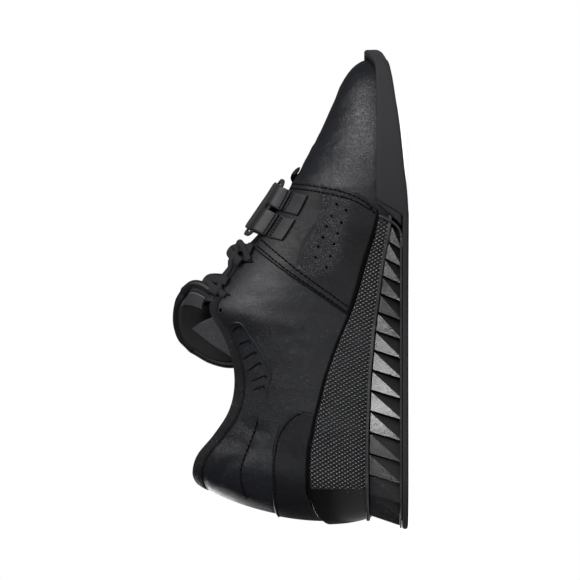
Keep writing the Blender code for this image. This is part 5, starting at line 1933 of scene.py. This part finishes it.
@dataclass
class Studio(SubAssembly):
    """Pale floor, soft lights and the camera, rolled so that the toe points up the picture."""

    eye: tuple[float, float, float] = (0.0, -0.515, 0.008)
    target: tuple[float, float, float] = (0.0, 0.0, 0.075)
    lens: float = 50.0
    surround: float = 0.06
    lift: float = 0.95
    lights: tuple = (
        ("key", (0.80, -0.95, 0.62), (0.05, 0.0, 0.05), 0.45, 11.0),
        ("over", (0.75, -0.65, 1.15), (0.0, 0.0, 0.05), 0.6, 5.0),
        ("side", (0.20, -1.15, 0.36), (0.0, 0.0, 0.05), 0.20, 1.5),
        ("back", (-0.75, 0.80, 0.70), (0.0, 0.0, 0.06), 0.50, 4.0),
        ("glint_rear", (0.27, -1.10, 0.07), (-0.05, -0.05, 0.01), 0.10, 0.50),
        ("glint_front", (-0.06, -1.10, 0.06), (0.0, -0.05, 0.01), 0.07, 0.16),
    )

    def build(self) -> None:
        """Camera, floor, world, tone and lights."""
        bpy.context.scene.view_settings.view_transform = "Standard"
        self.camera()
        self.floor()
        self.world()
        for row in self.lights:
            self.light(*row)

    def camera(self) -> None:
        """Camera near the floor on the medial side, level across the shoe."""
        data = bpy.data.cameras.new("camera")
        data.lens = self.lens
        data.sensor_width = 36.0
        made = bpy.data.objects.new("camera", data)
        bpy.context.scene.collection.objects.link(made)
        ahead = (Vector(self.target) - Vector(self.eye)).normalized()
        up = Vector((1.0, 0.0, 0.0))
        right = ahead.cross(up)
        turn = Matrix((right, up, -ahead)).transposed().to_4x4()
        made.matrix_world = Matrix.Translation(self.eye) @ turn
        bpy.context.scene.camera = made

    def floor(self) -> None:
        """Large flat pale floor, a little brighter to the camera than the lights make it."""
        reach = 60.0
        corners_of = [(-reach, -reach), (reach, -reach), (reach, reach), (-reach, reach)]
        mesh = bpy.data.meshes.new("floor")
        mesh.from_pydata([(x, y, -0.0002) for x, y in corners_of], [], [(0, 1, 2, 3)])
        made = bpy.data.objects.new("floor", mesh)
        bpy.context.scene.collection.objects.link(made)
        material = bpy.data.materials.new("floor_pale")
        material.use_nodes = True
        net = Net(material.node_tree)
        shader = material.node_tree.nodes["Principled BSDF"]
        shader.inputs["Base Color"].default_value = (0.80, 0.80, 0.80, 1.0)
        shader.inputs["Roughness"].default_value = 0.9
        shader.inputs["Emission Color"].default_value = (1.0, 1.0, 1.0, 1.0)
        seen = net.node("ShaderNodeLightPath").outputs["Is Camera Ray"]
        material.node_tree.links.new(net.math("MULTIPLY", seen, self.lift), shader.inputs["Emission Strength"])
        mesh.materials.append(material)

    def world(self) -> None:
        """White surround to the camera, and a dim even one to everything else."""
        made = bpy.data.worlds.new("surround")
        bpy.context.scene.world = made
        made.use_nodes = True
        net = Net(made.node_tree)
        ground = made.node_tree.nodes["Background"]
        ground.inputs["Color"].default_value = (1.0, 1.0, 1.0, 1.0)
        seen = net.node("ShaderNodeLightPath").outputs["Is Camera Ray"]
        strength = net.between(seen, 0.0, 1.0, self.surround, 1.0)
        made.node_tree.links.new(strength, ground.inputs["Strength"])

    def light(self, name: str, place: tuple, aim: tuple, size: float, power: float) -> None:
        """Square area light aimed at a point.

        Args:
            name: its name.
            place: where it hangs.
            aim: what it faces.
            size: side of the square.
            power: watts.
        """
        data = bpy.data.lights.new(name, "AREA")
        data.shape = "SQUARE"
        data.size = size
        data.energy = power
        made = bpy.data.objects.new(name, data)
        bpy.context.scene.collection.objects.link(made)
        made.location = place
        made.rotation_euler = (Vector(aim) - Vector(place)).to_track_quat("-Z", "Y").to_euler()


def corners(box: object) -> list:
    """A box as plain lists of numbers."""
    return [[float(c) for c in corner] for corner in box]


def main() -> None:
    """Build every sub-assembly in order."""
    logging.basicConfig(level=logging.INFO, format="%(name)s %(message)s")
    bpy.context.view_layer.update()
    parts: list[SubAssembly] = [
        Studio(), Outsole(), HeelBlock(), Stabiliser(), Upper(), Saddle(Side.MEDIAL), Saddle(Side.LATERAL),
        HeelCounter(), Lining(), Insole(), Tongue(), StrapSet(), Lacing(), Stitching(), CollarRibs(), Binding(),
    ]
    for part in parts:
        LOG.info("making %s", type(part).__name__)
        part.build()


if __name__ == "__main__":
    main()
